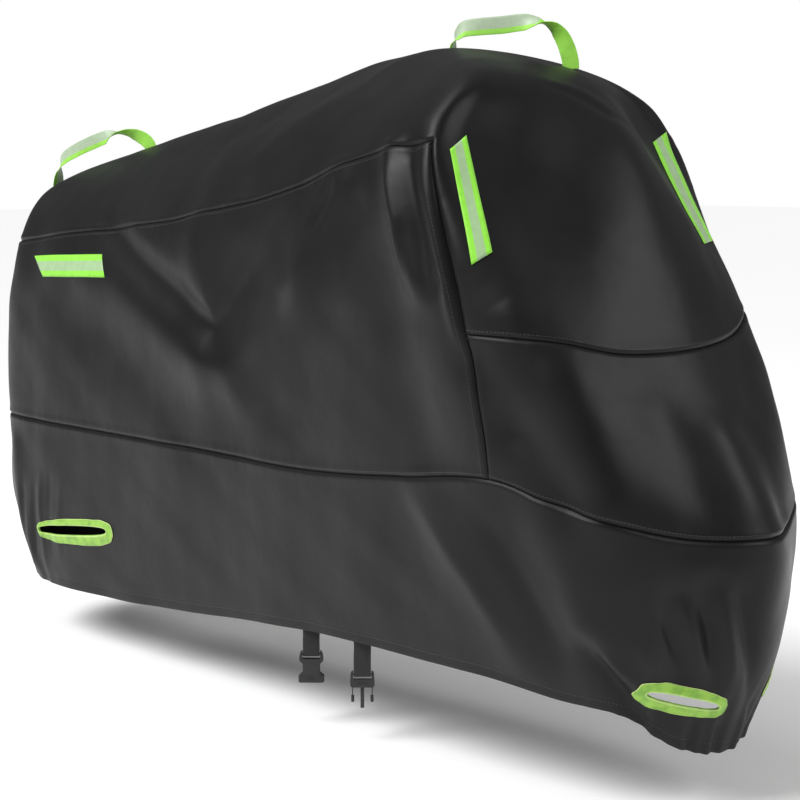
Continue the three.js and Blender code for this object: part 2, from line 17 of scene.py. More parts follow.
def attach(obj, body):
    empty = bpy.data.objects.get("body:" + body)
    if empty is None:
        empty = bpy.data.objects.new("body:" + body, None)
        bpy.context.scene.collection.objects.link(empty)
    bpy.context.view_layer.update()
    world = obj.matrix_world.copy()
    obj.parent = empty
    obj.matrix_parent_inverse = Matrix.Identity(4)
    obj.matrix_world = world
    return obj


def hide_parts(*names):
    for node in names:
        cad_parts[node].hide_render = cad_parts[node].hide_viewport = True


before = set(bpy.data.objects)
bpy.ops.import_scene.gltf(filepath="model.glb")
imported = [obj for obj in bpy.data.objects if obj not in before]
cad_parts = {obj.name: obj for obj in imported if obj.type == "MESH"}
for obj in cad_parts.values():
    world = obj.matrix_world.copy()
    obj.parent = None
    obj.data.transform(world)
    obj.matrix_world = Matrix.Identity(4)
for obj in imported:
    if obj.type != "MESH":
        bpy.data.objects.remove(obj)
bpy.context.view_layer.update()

log = logging.getLogger("cover")

# The mount under the top, in millimetres above the ground: the frame's origin.
MOUNT = np.array([-380.0, 0.0, 1197.8])
MM = 0.001
# How far up the low seam, the waist, the shoulder and the ridge are, and how far it is all round the
# cover, to its corner seam and to its nose, in steps of its net of sections.
LOW, WAIST, SHOULDER, RIDGE = 2, 3, 4, 6
ROUND, CORNER, NOSE = 24, 8, 12
# Half of the gap at a seam, as a share of the way from one section or line to the next, and the hood's
# borders beside the corner seams and the upper seam.
SEAM_ROUND, SEAM_UP = 0.0015, 0.001
# How far from a seam the nearest rows of a panel's grid lie, in millimetres.
BESIDE_SEAM = (0, 1.2, 2.4, 3.8, 5.4, 7.5, 11.0)
NEAR_EDGE, FAR_EDGE, SHOULDER_EDGE = CORNER + SEAM_ROUND, ROUND - CORNER - SEAM_ROUND, SHOULDER + SEAM_UP
# What the phase of a wave in the cloth is drawn from, in radians.
PHASES = (0, 6.28)
# How many places a line of the cover is measured at, and one straight run of a seam.
LINE_SAMPLES, SEAM_SAMPLES = 600, 400


# Shader tools.


class Coordinates(Enum):
    """What a pattern is laid by: the place in the frame, or the piece's own UV map."""

    FRAME = "Object"
    CLOTH = "UV"


class Value:
    """A socket that carries one number, with the arithmetic that the finishes use."""

    def __init__(self, shader: "Shader", socket: bpy.types.NodeSocket) -> None:
        """Keeps the socket and the shader that it belongs to.

        Args:
            shader: The shader whose tree holds the socket.
            socket: An output socket.
        """
        self.shader = shader
        self.socket = socket

    def maths(self, operation: str, first: object, second: object = 0.0) -> "Value":
        """Adds a Math node.

        Args:
            operation: The Math node's operation.
            first: The first operand, a number or a Value.
            second: The second operand.

        Returns:
            The node's result.
        """
        node = self.shader.node("ShaderNodeMath", {"operation": operation}, {0: first, 1: second})
        return Value(self.shader, node.outputs[0])

    def __add__(self, other: object) -> "Value":
        """The sum of this and another value."""
        return self.maths("ADD", self, other)

    __radd__ = __add__

    def __mul__(self, other: object) -> "Value":
        """The product of this and another value."""
        return self.maths("MULTIPLY", self, other)

    __rmul__ = __mul__

    def __sub__(self, other: object) -> "Value":
        """This less another value."""
        return self.maths("SUBTRACT", self, other)

    def __rsub__(self, other: object) -> "Value":
        """Another value less this."""
        return self.maths("SUBTRACT", other, self)

    def size(self) -> "Value":
        """How far this is from 0."""
        return self.maths("ABSOLUTE", self)

    def wave(self, length: float) -> "Value":
        """A cosine of this value, from 0 to 1.

        Args:
            length: The length over which it repeats.

        Returns:
            The wave.
        """
        return self.maths("COSINE", self * (2 * math.pi / length)) * 0.5 + 0.5

    def step(self, low: float, high: float) -> "Value":
        """Rises smoothly from 0 to 1, or falls where high is below low.

        Args:
            low: Where the result is 0.
            high: Where it is 1.

        Returns:
            The smooth step.
        """
        node = self.shader.node(
            "ShaderNodeMapRange", {"interpolation_type": "SMOOTHSTEP"},
            {"Value": self, "From Min": min(low, high), "From Max": max(low, high),
             "To Min": float(low > high), "To Max": float(low <= high)})
        return Value(self.shader, node.outputs["Result"])


class Shader:
    """One material's node tree, with the few kinds of node that the finishes need."""

    def __init__(self, name: str) -> None:
        """Starts a material with a Principled shader.

        Args:
            name: The material's name.
        """
        self.material = bpy.data.materials.new(name)
        self.material.use_nodes = True
        self.tree = self.material.node_tree
        self.tree.nodes.clear()
        self.surface = self.node("ShaderNodeBsdfPrincipled")
        output = self.node("ShaderNodeOutputMaterial")
        self.tree.links.new(self.surface.outputs["BSDF"], output.inputs["Surface"])

    def node(self, kind: str, settings: dict | None = None, inputs: dict | None = None) -> bpy.types.Node:
        """Adds a node.

        Args:
            kind: The node's type.
            settings: Its properties, which are set first.
            inputs: Values or links by socket name or number.

        Returns:
            The new node.
        """
        made = self.tree.nodes.new(kind)
        for name, value in (settings or {}).items():
            setattr(made, name, value)
        for name, value in (inputs or {}).items():
            self.feed(made.inputs[name], value)
        return made

    def feed(self, socket: bpy.types.NodeSocket, value: object) -> None:
        """Links a Value or socket to an input, or sets the input to a constant.

        Args:
            socket: The input.
            value: A Value, an output socket, a number or a tuple.
        """
        if isinstance(value, Value):
            self.tree.links.new(value.socket, socket)
        elif isinstance(value, bpy.types.NodeSocket):
            self.tree.links.new(value, socket)
        else:
            socket.default_value = value

    def coords(self, kind: Coordinates = Coordinates.FRAME) -> bpy.types.NodeSocket:
        """The coordinates that a pattern is laid by."""
        return self.node("ShaderNodeTexCoord").outputs[kind.value]

    def across(self) -> tuple[Value, Value]:
        """The two UV coordinates, which are lengths along the cloth in metres."""
        parts = self.node("ShaderNodeSeparateXYZ", inputs={0: self.coords(Coordinates.CLOTH)})
        return Value(self, parts.outputs[0]), Value(self, parts.outputs[1])

    def noise(self, scale: float, detail: float = 2.0, where: object = None) -> Value:
        """Soft noise.

        Args:
            scale: How many features it has in a metre.
            detail: How many finer layers it has.
            where: The coordinates it reads, Object coordinates where none are given.

        Returns:
            The noise, from 0 to 1 with a mean of a half.
        """
        made = self.node("ShaderNodeTexNoise", inputs={
            "Vector": where or self.coords(), "Scale": scale, "Detail": detail})
        return Value(self, made.outputs[0])

    def mix(self, share: object, first: object, second: object) -> bpy.types.NodeSocket:
        """Mixes two colours.

        Args:
            share: How much of the second there is, from 0 to 1.
            first: A colour as three numbers, or a socket.
            second: The other colour.

        Returns:
            The mixed colour's socket.
        """
        made = self.node("ShaderNodeMix", {"data_type": "RGBA"})
        self.feed(made.inputs[0], share)
        for place, colour in ((6, first), (7, second)):
            self.feed(made.inputs[place], (*colour, 1) if isinstance(colour, tuple) else colour)
        return made.outputs[2]

    def bump(self, height: Value, metres: float, strength: float = 1.0) -> None:
        """Adds a bump, above any that the surface already has.

        Args:
            height: The relief, from 0 to 1.
            metres: How high 1 is.
            strength: How much of the bump is used.
        """
        made = self.node("ShaderNodeBump", inputs={
            "Height": height, "Distance": metres, "Strength": strength})
        before = self.surface.inputs["Normal"]
        if before.is_linked:
            self.feed(made.inputs["Normal"], before.links[0].from_socket)
        self.feed(before, made.outputs[0])

    def finish(self, colour: object, roughness: object, **constants: float) -> bpy.types.Material:
        """Sets what the surface shows.

        Args:
            colour: The base colour.
            roughness: The roughness, a number or a Value.
            constants: Other sockets of the Principled shader, with underscores for spaces.

        Returns:
            The finished material.
        """
        self.feed(self.surface.inputs["Base Color"], (*colour, 1) if isinstance(colour, tuple) else colour)
        self.feed(self.surface.inputs["Roughness"], roughness)
        for name, value in constants.items():
            self.surface.inputs[name.replace("_", " ")].default_value = value
        return self.material


def tone(red: int, green: int, blue: int) -> tuple[float, float, float]:
    """A display colour as linear light.

    Args:
        red: Its red, from 0 to 255.
        green: Its green.
        blue: Its blue.

    Returns:
        The three linear shares.
    """
    def linear(part: int) -> float:
        """One channel as linear light."""
        share = part / 255
        return share / 12.92 if share <= 0.04045 else ((share + 0.055) / 1.055) ** 2.4
    return linear(red), linear(green), linear(blue)


# Finishes.


@dataclass(frozen=True)
class CoatedCloth:
    """Thin coated polyester, near black, with a soft sheen and a fine plain weave under the coating."""

    name: str = "coated_cloth"
    dark: tuple = tone(17, 17, 18)
    light: tuple = tone(24, 24, 25)
    thread: float = 0.0007
    roughness: float = 0.38
    sheen: float = 0.02
    specular: float = 0.17
    wear_scale: float = 3.2
    ripple_scale: float = 9.0
    crumple_scale: float = 26.0

    def material(self) -> bpy.types.Material:
        """Mixes broad patches of wear, fine crumples and the weave.

        Returns:
            The cloth's material.
        """
        shader = Shader(self.name)
        u, v = shader.across()
        patches = shader.noise(self.wear_scale, 3.0)
        colour = shader.mix(patches.step(0.3, 0.7), self.dark, self.light)
        weave = u.wave(self.thread) * v.wave(self.thread)
        crumple = shader.noise(self.crumple_scale, 5.0)
        shader.bump(shader.noise(self.ripple_scale, 3.0), 0.006, 0.3)
        shader.bump(crumple, 0.0016, 0.35)
        shader.bump(weave, 0.00006, 0.5)
        rough = patches * 0.16 + (self.roughness - 0.08) + crumple * 0.06
        return shader.finish(colour, rough, Sheen_Weight=self.sheen, Sheen_Roughness=0.4,
                             Specular_IOR_Level=self.specular)


@dataclass(frozen=True)
class StripTape:
    """Reflective tape: lime borders with a silver band between them, crossed by a fine honeycomb.

    The band lies between two distances across the tape, and it ends at a place along the tape.
    """

    name: str
    lime: tuple
    silver: tuple
    band_from: float
    band_to: float
    band_end: float = 10.0

    def material(self) -> bpy.types.Material:
        """Lays the band by the UV map, which is in metres along the tape and across it.

        Returns:
            The tape's material.
        """
        shader = Shader(self.name)
        u, v = shader.across()
        blur = 0.0004
        inside = v.step(self.band_from - blur, self.band_from + blur)
        inside = inside * v.step(self.band_to + blur, self.band_to - blur)
        inside = inside * u.step(self.band_end + 5 * blur, self.band_end)
        wear = shader.noise(60.0, 4.0)
        lime = shader.mix(wear.step(0.35, 0.75), self.lime, tuple(0.86 * part for part in self.lime))
        silver = shader.mix(wear.step(0.3, 0.7), self.silver, tuple(0.9 * part for part in self.silver))
        cells = (u + v).wave(0.0022) * (u - v).wave(0.0022)
        colour = shader.mix(inside, lime, silver)
        shader.bump(cells * inside, 0.00008, 0.6)
        shader.bump(u.wave(0.0011) * v.wave(0.0011) * (1 - inside), 0.00008, 0.6)
        shader.bump(shader.noise(90.0, 3.0), 0.0006, 0.4)
        rough = 0.55 - inside * 0.13 + wear * 0.1
        return shader.finish(colour, rough, Sheen_Weight=0.1)


@dataclass(frozen=True)
class BindingTape:
    """Lime binding tape folded over a raw edge, with a painted highlight along its rolled edges and painted
    shade in its creases.
    """

    name: str = "binding_tape"
    lime: tuple = tone(138, 184, 62)
    # The painted highlight along the rolled edges.
    pale: tuple = tone(196, 216, 142)
    # The painted shade in the creases.
    shade: tuple = tone(106, 156, 42)

    def material(self) -> bpy.types.Material:
        """Paints highlights on the tape by its second UV, which runs from one edge of the folded tape to
        the other, and shade in its creases.

        Returns:
            The binding's material.
        """
        shader = Shader(self.name)
        u, v = shader.across()
        fold = (v - 0.5).size()
        crease = shader.noise(55.0, 3.0)
        # Painted shade: the tape is darker where the crease noise, which also makes its bump, is low.
        body = shader.mix(crease.step(0.3, 0.62), self.shade, self.lime)
        # Painted highlight along the tape's two edges and near its roll, broken up by the crease noise.
        edge = fold.step(0.38, 0.46) * 0.9 + fold.step(0.09, 0.0) * 0.6
        colour = shader.mix((edge * (crease * 0.5 + 0.75)).step(0.0, 1.0), body, self.pale)
        ribs = u.wave(0.0016)
        shader.bump(crease, 0.0012, 0.4)
        shader.bump(ribs, 0.00012, 0.7)
        return shader.finish(colour, crease * 0.2 + 0.5, Sheen_Weight=0.15)


@dataclass(frozen=True)
class Webbing:
    """Woven webbing: weft ribs across its length between two firm edges."""

    name: str
    colour: tuple
    rib: float = 0.0021

    def material(self) -> bpy.types.Material:
        """Weaves the ribs by the UV map, which is in metres along the strap and across it.

        Returns:
            The webbing's material.
        """
        shader = Shader(self.name)
        u, v = shader.across()
        dust = shader.noise(70.0, 4.0)
        weft = (u + v.wave(0.0032) * (self.rib / 2)).wave(self.rib)
        # Painted shade: darker in the grooves between the weft ribs, with random tone from the dust noise
        # on top.
        colour = shader.mix(weft * 0.5 + dust * 0.4, tuple(0.6 * part for part in self.colour), self.colour)
        shader.bump(weft * v.wave(0.0016), 0.0003, 0.9)
        return shader.finish(colour, dust * 0.15 + 0.72, Sheen_Weight=0.2)


@dataclass(frozen=True)
class Plastic:
    """Matt black moulded plastic with a fine grain and slightly worn edges."""

    name: str = "buckle_plastic"
    colour: tuple = tone(24, 24, 25)
    worn: tuple = tone(52, 52, 54)

    def material(self) -> bpy.types.Material:
        """Mixes a fine grain with scuffs.

        Returns:
            The plastic's material.
        """
        shader = Shader(self.name)
        grain = shader.noise(2400.0, 2.0)
        scuffs = shader.noise(240.0, 5.0)
        colour = shader.mix(scuffs.step(0.58, 0.8), self.colour, self.worn)
        shader.bump(grain, 0.00005, 0.5)
        return shader.finish(colour, scuffs * 0.2 + 0.32)


@dataclass(frozen=True)
class Thread:
    """Polyester sewing thread, its strands twisted along each stitch."""

    name: str
    colour: tuple

    def material(self) -> bpy.types.Material:
        """Paints the strands' lit and shaded sides into the colour, by the noise that also makes their
        bump.

        Returns:
            The thread's material.
        """
        shader = Shader(self.name)
        strands = shader.noise(3000.0, 1.0)
        # Painted shade and highlight: the thread is darker where the strands' bump is low and lighter where
        # it is high.
        colour = shader.mix(strands, tuple(0.7 * part for part in self.colour), self.colour)
        shader.bump(strands, 0.0001, 0.8)
        return shader.finish(colour, 0.6, Sheen_Weight=0.3)


@dataclass(frozen=True)
class Backdrop:
    """The pale studio floor and wall."""

    name: str = "backdrop"
    colour: tuple = (0.97, 0.97, 0.97)
    glow: float = 0.1

    def material(self) -> bpy.types.Material:
        """Lets the backdrop glow a little, so that it stays pale to its edges.

        Returns:
            The backdrop's material.
        """
        shader = Shader(self.name)
        shader.surface.inputs["Emission Color"].default_value = (1, 1, 1, 1)
        return shader.finish(self.colour, 0.9, Emission_Strength=self.glow)


# The form of the cloth.

# The cover's sections, from the tail round one side to the nose: along, out and up, in millimetres
# above the ground, at the hem, belly, low seam, waist, shoulder, crown and ridge.
SECTIONS = np.array([
    [(-1646, 0, 124), (-1714, 0, 298), (-1698, 0, 464), (-1692, 0, 640), (-1655, 0, 834),
     (-1592, 0, 925), (-1512, 0, 976)],
    [(-1562, 122, 112), (-1622, 143, 288), (-1612, 150, 466), (-1610, 152, 645), (-1562, 148, 838),
     (-1532, 104, 938), (-1488, 0, 984)],
    [(-1405, 163, 112), (-1435, 186, 292), (-1440, 190, 467), (-1440, 192, 655), (-1420, 176, 851),
     (-1400, 104, 960), (-1390, 0, 1012)],
    [(-1180, 168, 122), (-1180, 192, 298), (-1180, 208, 470), (-1180, 210, 665), (-1180, 195, 875),
     (-1175, 112, 993), (-1170, 0, 1054)],
    [(-930, 177, 141), (-930, 205, 305), (-930, 225, 474), (-930, 228, 680), (-930, 214, 898),
     (-925, 120, 1033), (-920, 0, 1104)],
    [(-700, 191, 165), (-700, 218, 318), (-700, 240, 475), (-700, 246, 698), (-700, 231, 931),
     (-700, 132, 1073), (-700, 0, 1151)],
    [(-490, 203, 179), (-490, 232, 325), (-490, 255, 479), (-490, 266, 715), (-490, 250, 977),
     (-505, 148, 1111), (-535, 0, 1186)],
    [(-300, 206, 181), (-270, 243, 335), (-250, 272, 500), (-262, 293, 732), (-310, 270, 1020),
     (-325, 172, 1131), (-400, 0, 1200)],
    [(-110, 206, 182), (-72, 248, 345), (-30, 285, 523), (-54, 315, 746), (-150, 290, 1041),
     (-182, 196, 1130), (-300, 0, 1192)],
    [(32, 190, 170), (60, 238, 325), (70, 266, 500), (28, 284, 744), (-134, 236, 1044),
     (-162, 142, 1135), (-250, 0, 1183)],
    [(134, 166, 162), (164, 212, 305), (168, 226, 474), (72, 238, 738), (-100, 150, 1045),
     (-130, 82, 1131), (-222, 0, 1177)],
    [(196, 84, 106), (242, 112, 276), (240, 122, 446), (112, 141, 718), (-38, 70, 1042),
     (-112, 42, 1126), (-208, 0, 1174)],
    [(216, 0, 92), (286, 0, 268), (292, 0, 440), (136, 0, 718), (-14, 0, 1040),
     (-106, 0, 1124), (-204, 0, 1173)],
], float)
# Where the waist seam sits higher on the far side of the front, by section.
FAR_WAIST = {9: (16, 277, 764), 10: (58, 234, 752), 11: (104, 140, 728)}


# How far above or below the unfolded cloth a fold's path may run and still count as on it.
SLANT = 12.0
# How near its ends a fading fold reaches its least height, as a share of its length, and how full the
# curve of its height is.
FADE_END, FADE_FULL = 0.02, 0.6


@dataclass(frozen=True)
class Fold:
    """A soft ridge or trough in the cloth, along a path in millimetres above the ground.

    A positive out stands proud, a negative one lies in. Where it fades, it dies away at its two ends.
    Above its path its width is multiplied by the slope, so that the cloth falls more steeply there.
    """

    path: tuple
    wide: float
    out: float
    fades: bool = False
    slope: float = 1.0

    def height(self, points: np.ndarray, normals: np.ndarray) -> np.ndarray:
        """How far the fold lifts the cloth.

        Args:
            points: Places on the unfolded cloth.
            normals: The way out of it at each.

        Returns:
            The lift at each, in millimetres.
        """
        corners = np.array(self.path, float)
        spans = corners[1:] - corners[:-1]
        lengths = np.linalg.norm(spans, axis=1)
        nearest = np.full(len(points), np.inf)
        place = np.zeros(len(points))
        over = np.zeros(len(points), bool)
        for start, span, length, before in zip(corners, spans, lengths, np.cumsum(lengths) - lengths):
            share = np.clip((points - start) @ span / length ** 2, 0, 1)
            offset = points - start - share[:, None] * span
            above = np.sum(offset * normals, axis=1)
            offset -= normals * np.clip(above, -SLANT, SLANT)[:, None]
            gap = np.linalg.norm(offset, axis=1)
            closer = gap < nearest
            nearest[closer] = gap[closer]
            over[closer] = offset[closer, 2] > 0
            place[closer] = (before + share * length)[closer] / lengths.sum()
        lift = self.out * np.exp(-((nearest / np.where(over, self.wide * self.slope, self.wide)) ** 2))
        if self.fades:
            lift *= np.sin(np.pi * np.clip(place, FADE_END, 1 - FADE_END)) ** FADE_FULL
        return lift


def straight(start: tuple, end: tuple, wide: float, out: float) -> Fold:
    """A straight fold between two places."""
    return Fold((start, end), wide, out)


# The main folds, as the solids have them, but for the two arms of the swag, which are one fold here.
MAIN_FOLDS = (
    Fold(((-1230, -197, 912), (-990, -221, 796), (-776, -232, 712), (-690, -233, 790), (-620, -236, 870),
          (-520, -250, 960)), 46, -17.0, True, 0.7),
    straight((-830, -232, 880), (-802, -246, 770), 55, 10),
    straight((-1203, -213, 771), (-798, -251, 640), 70, 11),
    straight((-798, -251, 640), (-699, -252, 622), 60, 9),
    straight((-699, -252, 622), (-484, -276, 796), 60, 11),
    straight((-484, -276, 796), (-397, -277, 959), 48, 11),
    straight((-1152, -218, 700), (-904, -235, 552), 75, -6),
    straight((-702, -251, 540), (-500, -270, 640), 75, -7),
    straight((-443, -274, 771), (-350, -281, 939), 45, -8),
    straight((-249, -286, 1021), (-166, -314, 824), 30, 10),
    straight((-199, -296, 1021), (-127, -314, 826), 28, -10),
    straight((-230, -300, 760), (-170, -290, 560), 60, -7),
    straight((-800, -150, 985), (-420, -110, 1150), 60, 8),
    straight((-34, -309, 705), (23, -285, 605), 38, -10),
    straight((23, -285, 605), (107, -249, 506), 38, -10),
    straight((100, -245, 680), (150, -232, 500), 45, 8),
    straight((180, -110, 640), (225, -80, 500), 42, -7),
    straight((234, -30, 600), (262, -30, 440), 40, 6),
    straight((210, 70, 600), (240, 60, 470), 42, -6),
    straight((-177, -274, 485), (-32, -224, 249), 50, 9),
    straight((0, -262, 430), (50, -225, 260), 42, -8),
    straight((67, -264, 492), (122, -229, 320), 42, 8),
    straight((112, -212, 268), (162, -150, 166), 28, -8),
    straight((229, -146, 355), (224, -120, 235), 24, -8),
    straight((258, -100, 369), (246, -72, 225), 24, -7),
    straight((281, -56, 349), (246, 20, 166), 26, -7),
    straight((-1608, -150, 400), (-1590, -140, 170), 26, -7),
    straight((-1545, -168, 400), (-1530, -150, 150), 26, 6),
    straight((-1690, 40, 800), (-1715, 20, 420), 45, -7),
    straight((-1070, 203, 850), (-790, 240, 690), 55, -12),
    straight((-620, 236, 940), (-760, 242, 700), 48, -13),
    straight((-800, 248, 640), (-470, 276, 800), 66, 11),
    straight((-1190, 213, 760), (-820, 246, 640), 72, 9),
    straight((-230, 290, 1010), (-160, 312, 790), 32, 9),
    straight((-780, 150, 990), (-440, 110, 1140), 60, 7),
    straight((10, 290, 640), (110, 249, 500), 40, -9),
    straight((-150, 268, 470), (-20, 226, 250), 50, 8),
    straight((60, 262, 470), (115, 225, 300), 42, -7),
    straight((229, 146, 355), (224, 120, 235), 24, -7),
    straight((-1608, 150, 400), (-1590, 140, 170), 26, -6),
)

# The finer creases that only the dressed part shows.
FINE_FOLDS = (
    Fold(((-138, -78, 1134), (-101, -28, 1117), (-53, 11, 1080), (-60, 60, 1060)), 12, -3.0, True),
    Fold(((-130, -60, 1140), (-90, -10, 1125), (-45, 30, 1090)), 20, 3.0, True),
    Fold(((-792, -221, 930), (-600, -176, 1060), (-440, -150, 1110), (-400, -62, 1170)), 42, 11.0, True),
    Fold(((-400, -272, 985), (-430, -276, 940), (-470, -276, 890)), 20, -8.0, True, 0.6),
    Fold(((-245, -294, 1012), (-205, -314, 916), (-194, -307, 806)), 12, 6.0, True),
    Fold(((-200, -293, 1012), (-163, -310, 917), (-133, -313, 810)), 11, -6.5, True),
    Fold(((-165, -298, 1021), (-126, -314, 918), (-90, -317, 812), (-61, -310, 722)), 11, 6.5, True),
    Fold(((-144, -297, 1021), (-105, -313, 918), (-71, -316, 813), (-49, -308, 723)), 10, -6.0, True),
    Fold(((-226, -296, 485), (-90, -250, 350), (-32, -224, 249)), 20, 4.0, True),
    Fold(((-60, -275, 470), (20, -240, 330), (60, -222, 262)), 18, -4.0, True),
    Fold(((-4, -287, 798), (34, -274, 753)), 22, 3.5, True),
    Fold(((-1464, -186, 335), (-1515, -155, 151)), 9, -5.0, True),
    Fold(((-1437, -186, 350), (-1471, -161, 148)), 9, 4.0, True),
    Fold(((-1393, -194, 366), (-1440, -170, 160)), 10, -2.2, True),
    Fold(((-1354, -195, 350), (-1406, -171, 159)), 11, 1.8, True),
    Fold(((-1515, -177, 330), (-1541, -163, 208), (-1540, -157, 140)), 9, -6.0, True),
    Fold(((214, -164, 341), (220, -143, 293), (223, -121, 246)), 10, -9.0, True),
    Fold(((229, -146, 371), (237, -121, 307), (238, -91, 238)), 10, 8.0, True),
    Fold(((246, -117, 373), (251, -95, 306), (247, -73, 236)), 10, -9.0, True),
    Fold(((264, -85, 368), (265, -64, 287), (255, -44, 212)), 10, 8.0, True),
    Fold(((280, -57, 366), (279, -33, 285), (262, 0, 190)), 10, -8.0, True),
    Fold(((191, -182, 300), (198, -154, 236)), 12, 4.0, True),
    Fold(((115, -208, 266), (139, -184, 223), (159, -145, 159)), 13, -10.0, True),
    Fold(((141, -207, 274), (159, -184, 239), (176, -162, 210)), 12, 6.0, True),
    Fold(((175, -137, 166), (160, -140, 125)), 9, -2.6, True),
    Fold(((213, -86, 160), (205, -80, 108)), 9, -2.4, True),
    Fold(((228, -54, 152), (221, -20, 105)), 9, -2.4, True),
    Fold(((190, -110, 160), (184, -106, 112)), 9, 2.2, True),
)
FOLDS = MAIN_FOLDS + FINE_FOLDS


class CoverForm:
    """The smooth form of the whole cover, found by how far round it is and how far up.

    Round runs from the tail along the near side to the nose at 12 and back along the far side to 24.
    Up runs from the hem at 0, by the low seam, waist and shoulder, to the ridge at 6.
    """

    # The broad waves of loose cloth: the length and height of each set in millimetres, how many there are
    # in a set, how steeply they may run, and the seed that they are drawn from.
    WAVE_SETS = ((420, 1.6), (260, 1.2), (170, 0.8), (110, 0.5), (75, 0.3))
    WAVES_IN_SET = 4
    WAVE_STEEPNESS = 0.7
    WAVE_SEED = 11

    def __init__(self) -> None:
        """Works out the curve of each section."""
        near = SECTIONS * (1, -1, 1)
        far = SECTIONS.copy()
        for index, place in FAR_WAIST.items():
            far[index, WAIST] = place
        rows = [self.rib(row) for row in near] + [self.rib(row) for row in far[NOSE - 1:0:-1]]
        self.curves = np.array(rows)

    def rib(self, half: np.ndarray) -> np.ndarray:
        """The cubic pieces of one section.

        Args:
            half: The section's points from the hem to the ridge.

        Returns:
            For each piece, its four coefficients.
        """
        whole = np.concatenate([half, half[RIDGE - 1::-1] * (1, -1, 1)])
        ends = np.concatenate([[2 * whole[0] - whole[1]], whole, [2 * whole[-1] - whole[-2]]])
        return self.cubic(ends[:-3], ends[1:-2], ends[2:-1], ends[3:])

    @staticmethod
    def cubic(p0: np.ndarray, p1: np.ndarray, p2: np.ndarray, p3: np.ndarray) -> np.ndarray:
        """A centripetal curve between the middle two of four points.

        Args:
            p0: The point before.
            p1: The start.
            p2: The end.
            p3: The point after.

        Returns:
            The four coefficients, as an array of count by 4 by 3.
        """
        t0, t1, t2 = (np.maximum(np.linalg.norm(b - a, axis=-1, keepdims=True), 1e-9) ** 0.5
                      for a, b in ((p0, p1), (p1, p2), (p2, p3)))
        start = ((p1 - p0) / t0 - (p2 - p0) / (t0 + t1) + (p2 - p1) / t1) * t1
        end = ((p2 - p1) / t1 - (p3 - p1) / (t1 + t2) + (p3 - p2) / t2) * t1
        return np.stack(
            [p1, start, -3 * p1 + 3 * p2 - 2 * start - end, 2 * p1 - 2 * p2 + start + end], axis=-2)

    @staticmethod
    def along(coefficients: np.ndarray, share: np.ndarray) -> np.ndarray:
        """The points of cubic curves at a share of their length."""
        powers = np.stack([share ** 0, share, share ** 2, share ** 3], axis=-1)
        return np.einsum("...k,...kx->...x", powers, coefficients)

    def smooth(self, around: np.ndarray, up: np.ndarray) -> np.ndarray:
        """Places on the unfolded cloth.

        Args:
            around: How far round each place is.
            up: How far up it is.

        Returns:
            The places, in millimetres above the ground.
        """
        turn = np.mod(around, ROUND)
        section = np.floor(turn).astype(int) % ROUND
        piece = np.clip(np.floor(up).astype(int), 0, 2 * RIDGE - 1)
        ribs = [self.along(self.curves[(section + step) % ROUND, piece], up - piece)
                for step in (-1, 0, 1, 2)]
        return self.along(self.cubic(*ribs), turn - section)

    def outward(self, around: np.ndarray, up: np.ndarray) -> np.ndarray:
        """The directions out of the unfolded cloth.

        Args:
            around: How far round each place is.
            up: How far up it is.

        Returns:
            A unit vector for each.
        """
        step = 0.02
        below = np.minimum(up, RIDGE - 2 * step)
        run = self.smooth(around + step, below) - self.smooth(around - step, below)
        rise = self.smooth(around, below + step) - self.smooth(around, np.maximum(below - step, 0))
        normal = np.cross(run, rise)
        normal[np.isclose(up, RIDGE), 1] = 0
        return normal / np.linalg.norm(normal, axis=1, keepdims=True)

    def cloth(self, around: np.ndarray, up: np.ndarray) -> tuple[np.ndarray, np.ndarray]:
        """Places on the folded cloth, and the way out of it there.

        Args:
            around: How far round each place is.
            up: How far up it is.

        Returns:
            The places and the unit vectors, in millimetres above the ground.
        """
        around, up = np.broadcast_arrays(np.asarray(around, float), np.asarray(up, float))
        points = self.smooth(around, up)
        normals = self.outward(around, up)
        lift = sum(fold.height(points, normals) for fold in FOLDS) + self.slack(points)
        return points + normals * lift[:, None], normals

    @staticmethod
    def slack(points: np.ndarray) -> np.ndarray:
        """The slight, broad unevenness of loose cloth.

        Args:
            points: Places on the unfolded cloth.

        Returns:
            The lift at each, in millimetres.
        """
        rng = np.random.default_rng(CoverForm.WAVE_SEED)
        total = np.zeros(len(points))
        for length, size in CoverForm.WAVE_SETS:
            for _ in range(CoverForm.WAVES_IN_SET):
                way = rng.normal(size=3) * (1, 1, CoverForm.WAVE_STEEPNESS)
                way *= 2 * math.pi / (length * np.linalg.norm(way))
                total += size * np.sin(points @ way + rng.uniform(*PHASES)) / 2
        return total


FORM = CoverForm()


def in_frame(points: np.ndarray) -> np.ndarray:
    """Millimetres above the ground as metres in the frame."""
    return (points - MOUNT) * MM


# Mesh tools.


def new_piece(name: str, bm: bmesh.types.BMesh, material: bpy.types.Material) -> bpy.types.Object:
    """Makes a smooth object from a bmesh, at the origin, and lets it ride on the frame.

    Args:
        name: The piece's name.
        bm: Its mesh, which is freed.
        material: Its material.

    Returns:
        The new object.
    """
    mesh = bpy.data.meshes.new(name)
    bm.to_mesh(mesh)
    bm.free()
    mesh.materials.append(material)
    mesh.shade_smooth()
    piece = bpy.data.objects.new(name, mesh)
    bpy.context.scene.collection.objects.link(piece)
    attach(piece, "root")
    log.info("%s: %d faces", name, len(mesh.polygons))
    return piece


def thicken(piece: bpy.types.Object, thick: float, offset: float = -1.0) -> None:
    """Gives a sheet its thickness.

    Args:
        piece: The sheet.
        thick: Its thickness in metres.
        offset: Where the sheet lies in it, from -1 at the outer face to 1 at the inner one.
    """
    solidify = piece.modifiers.new("thickness", "SOLIDIFY")
    solidify.thickness = thick
    solidify.offset = offset
    solidify.use_even_offset = False


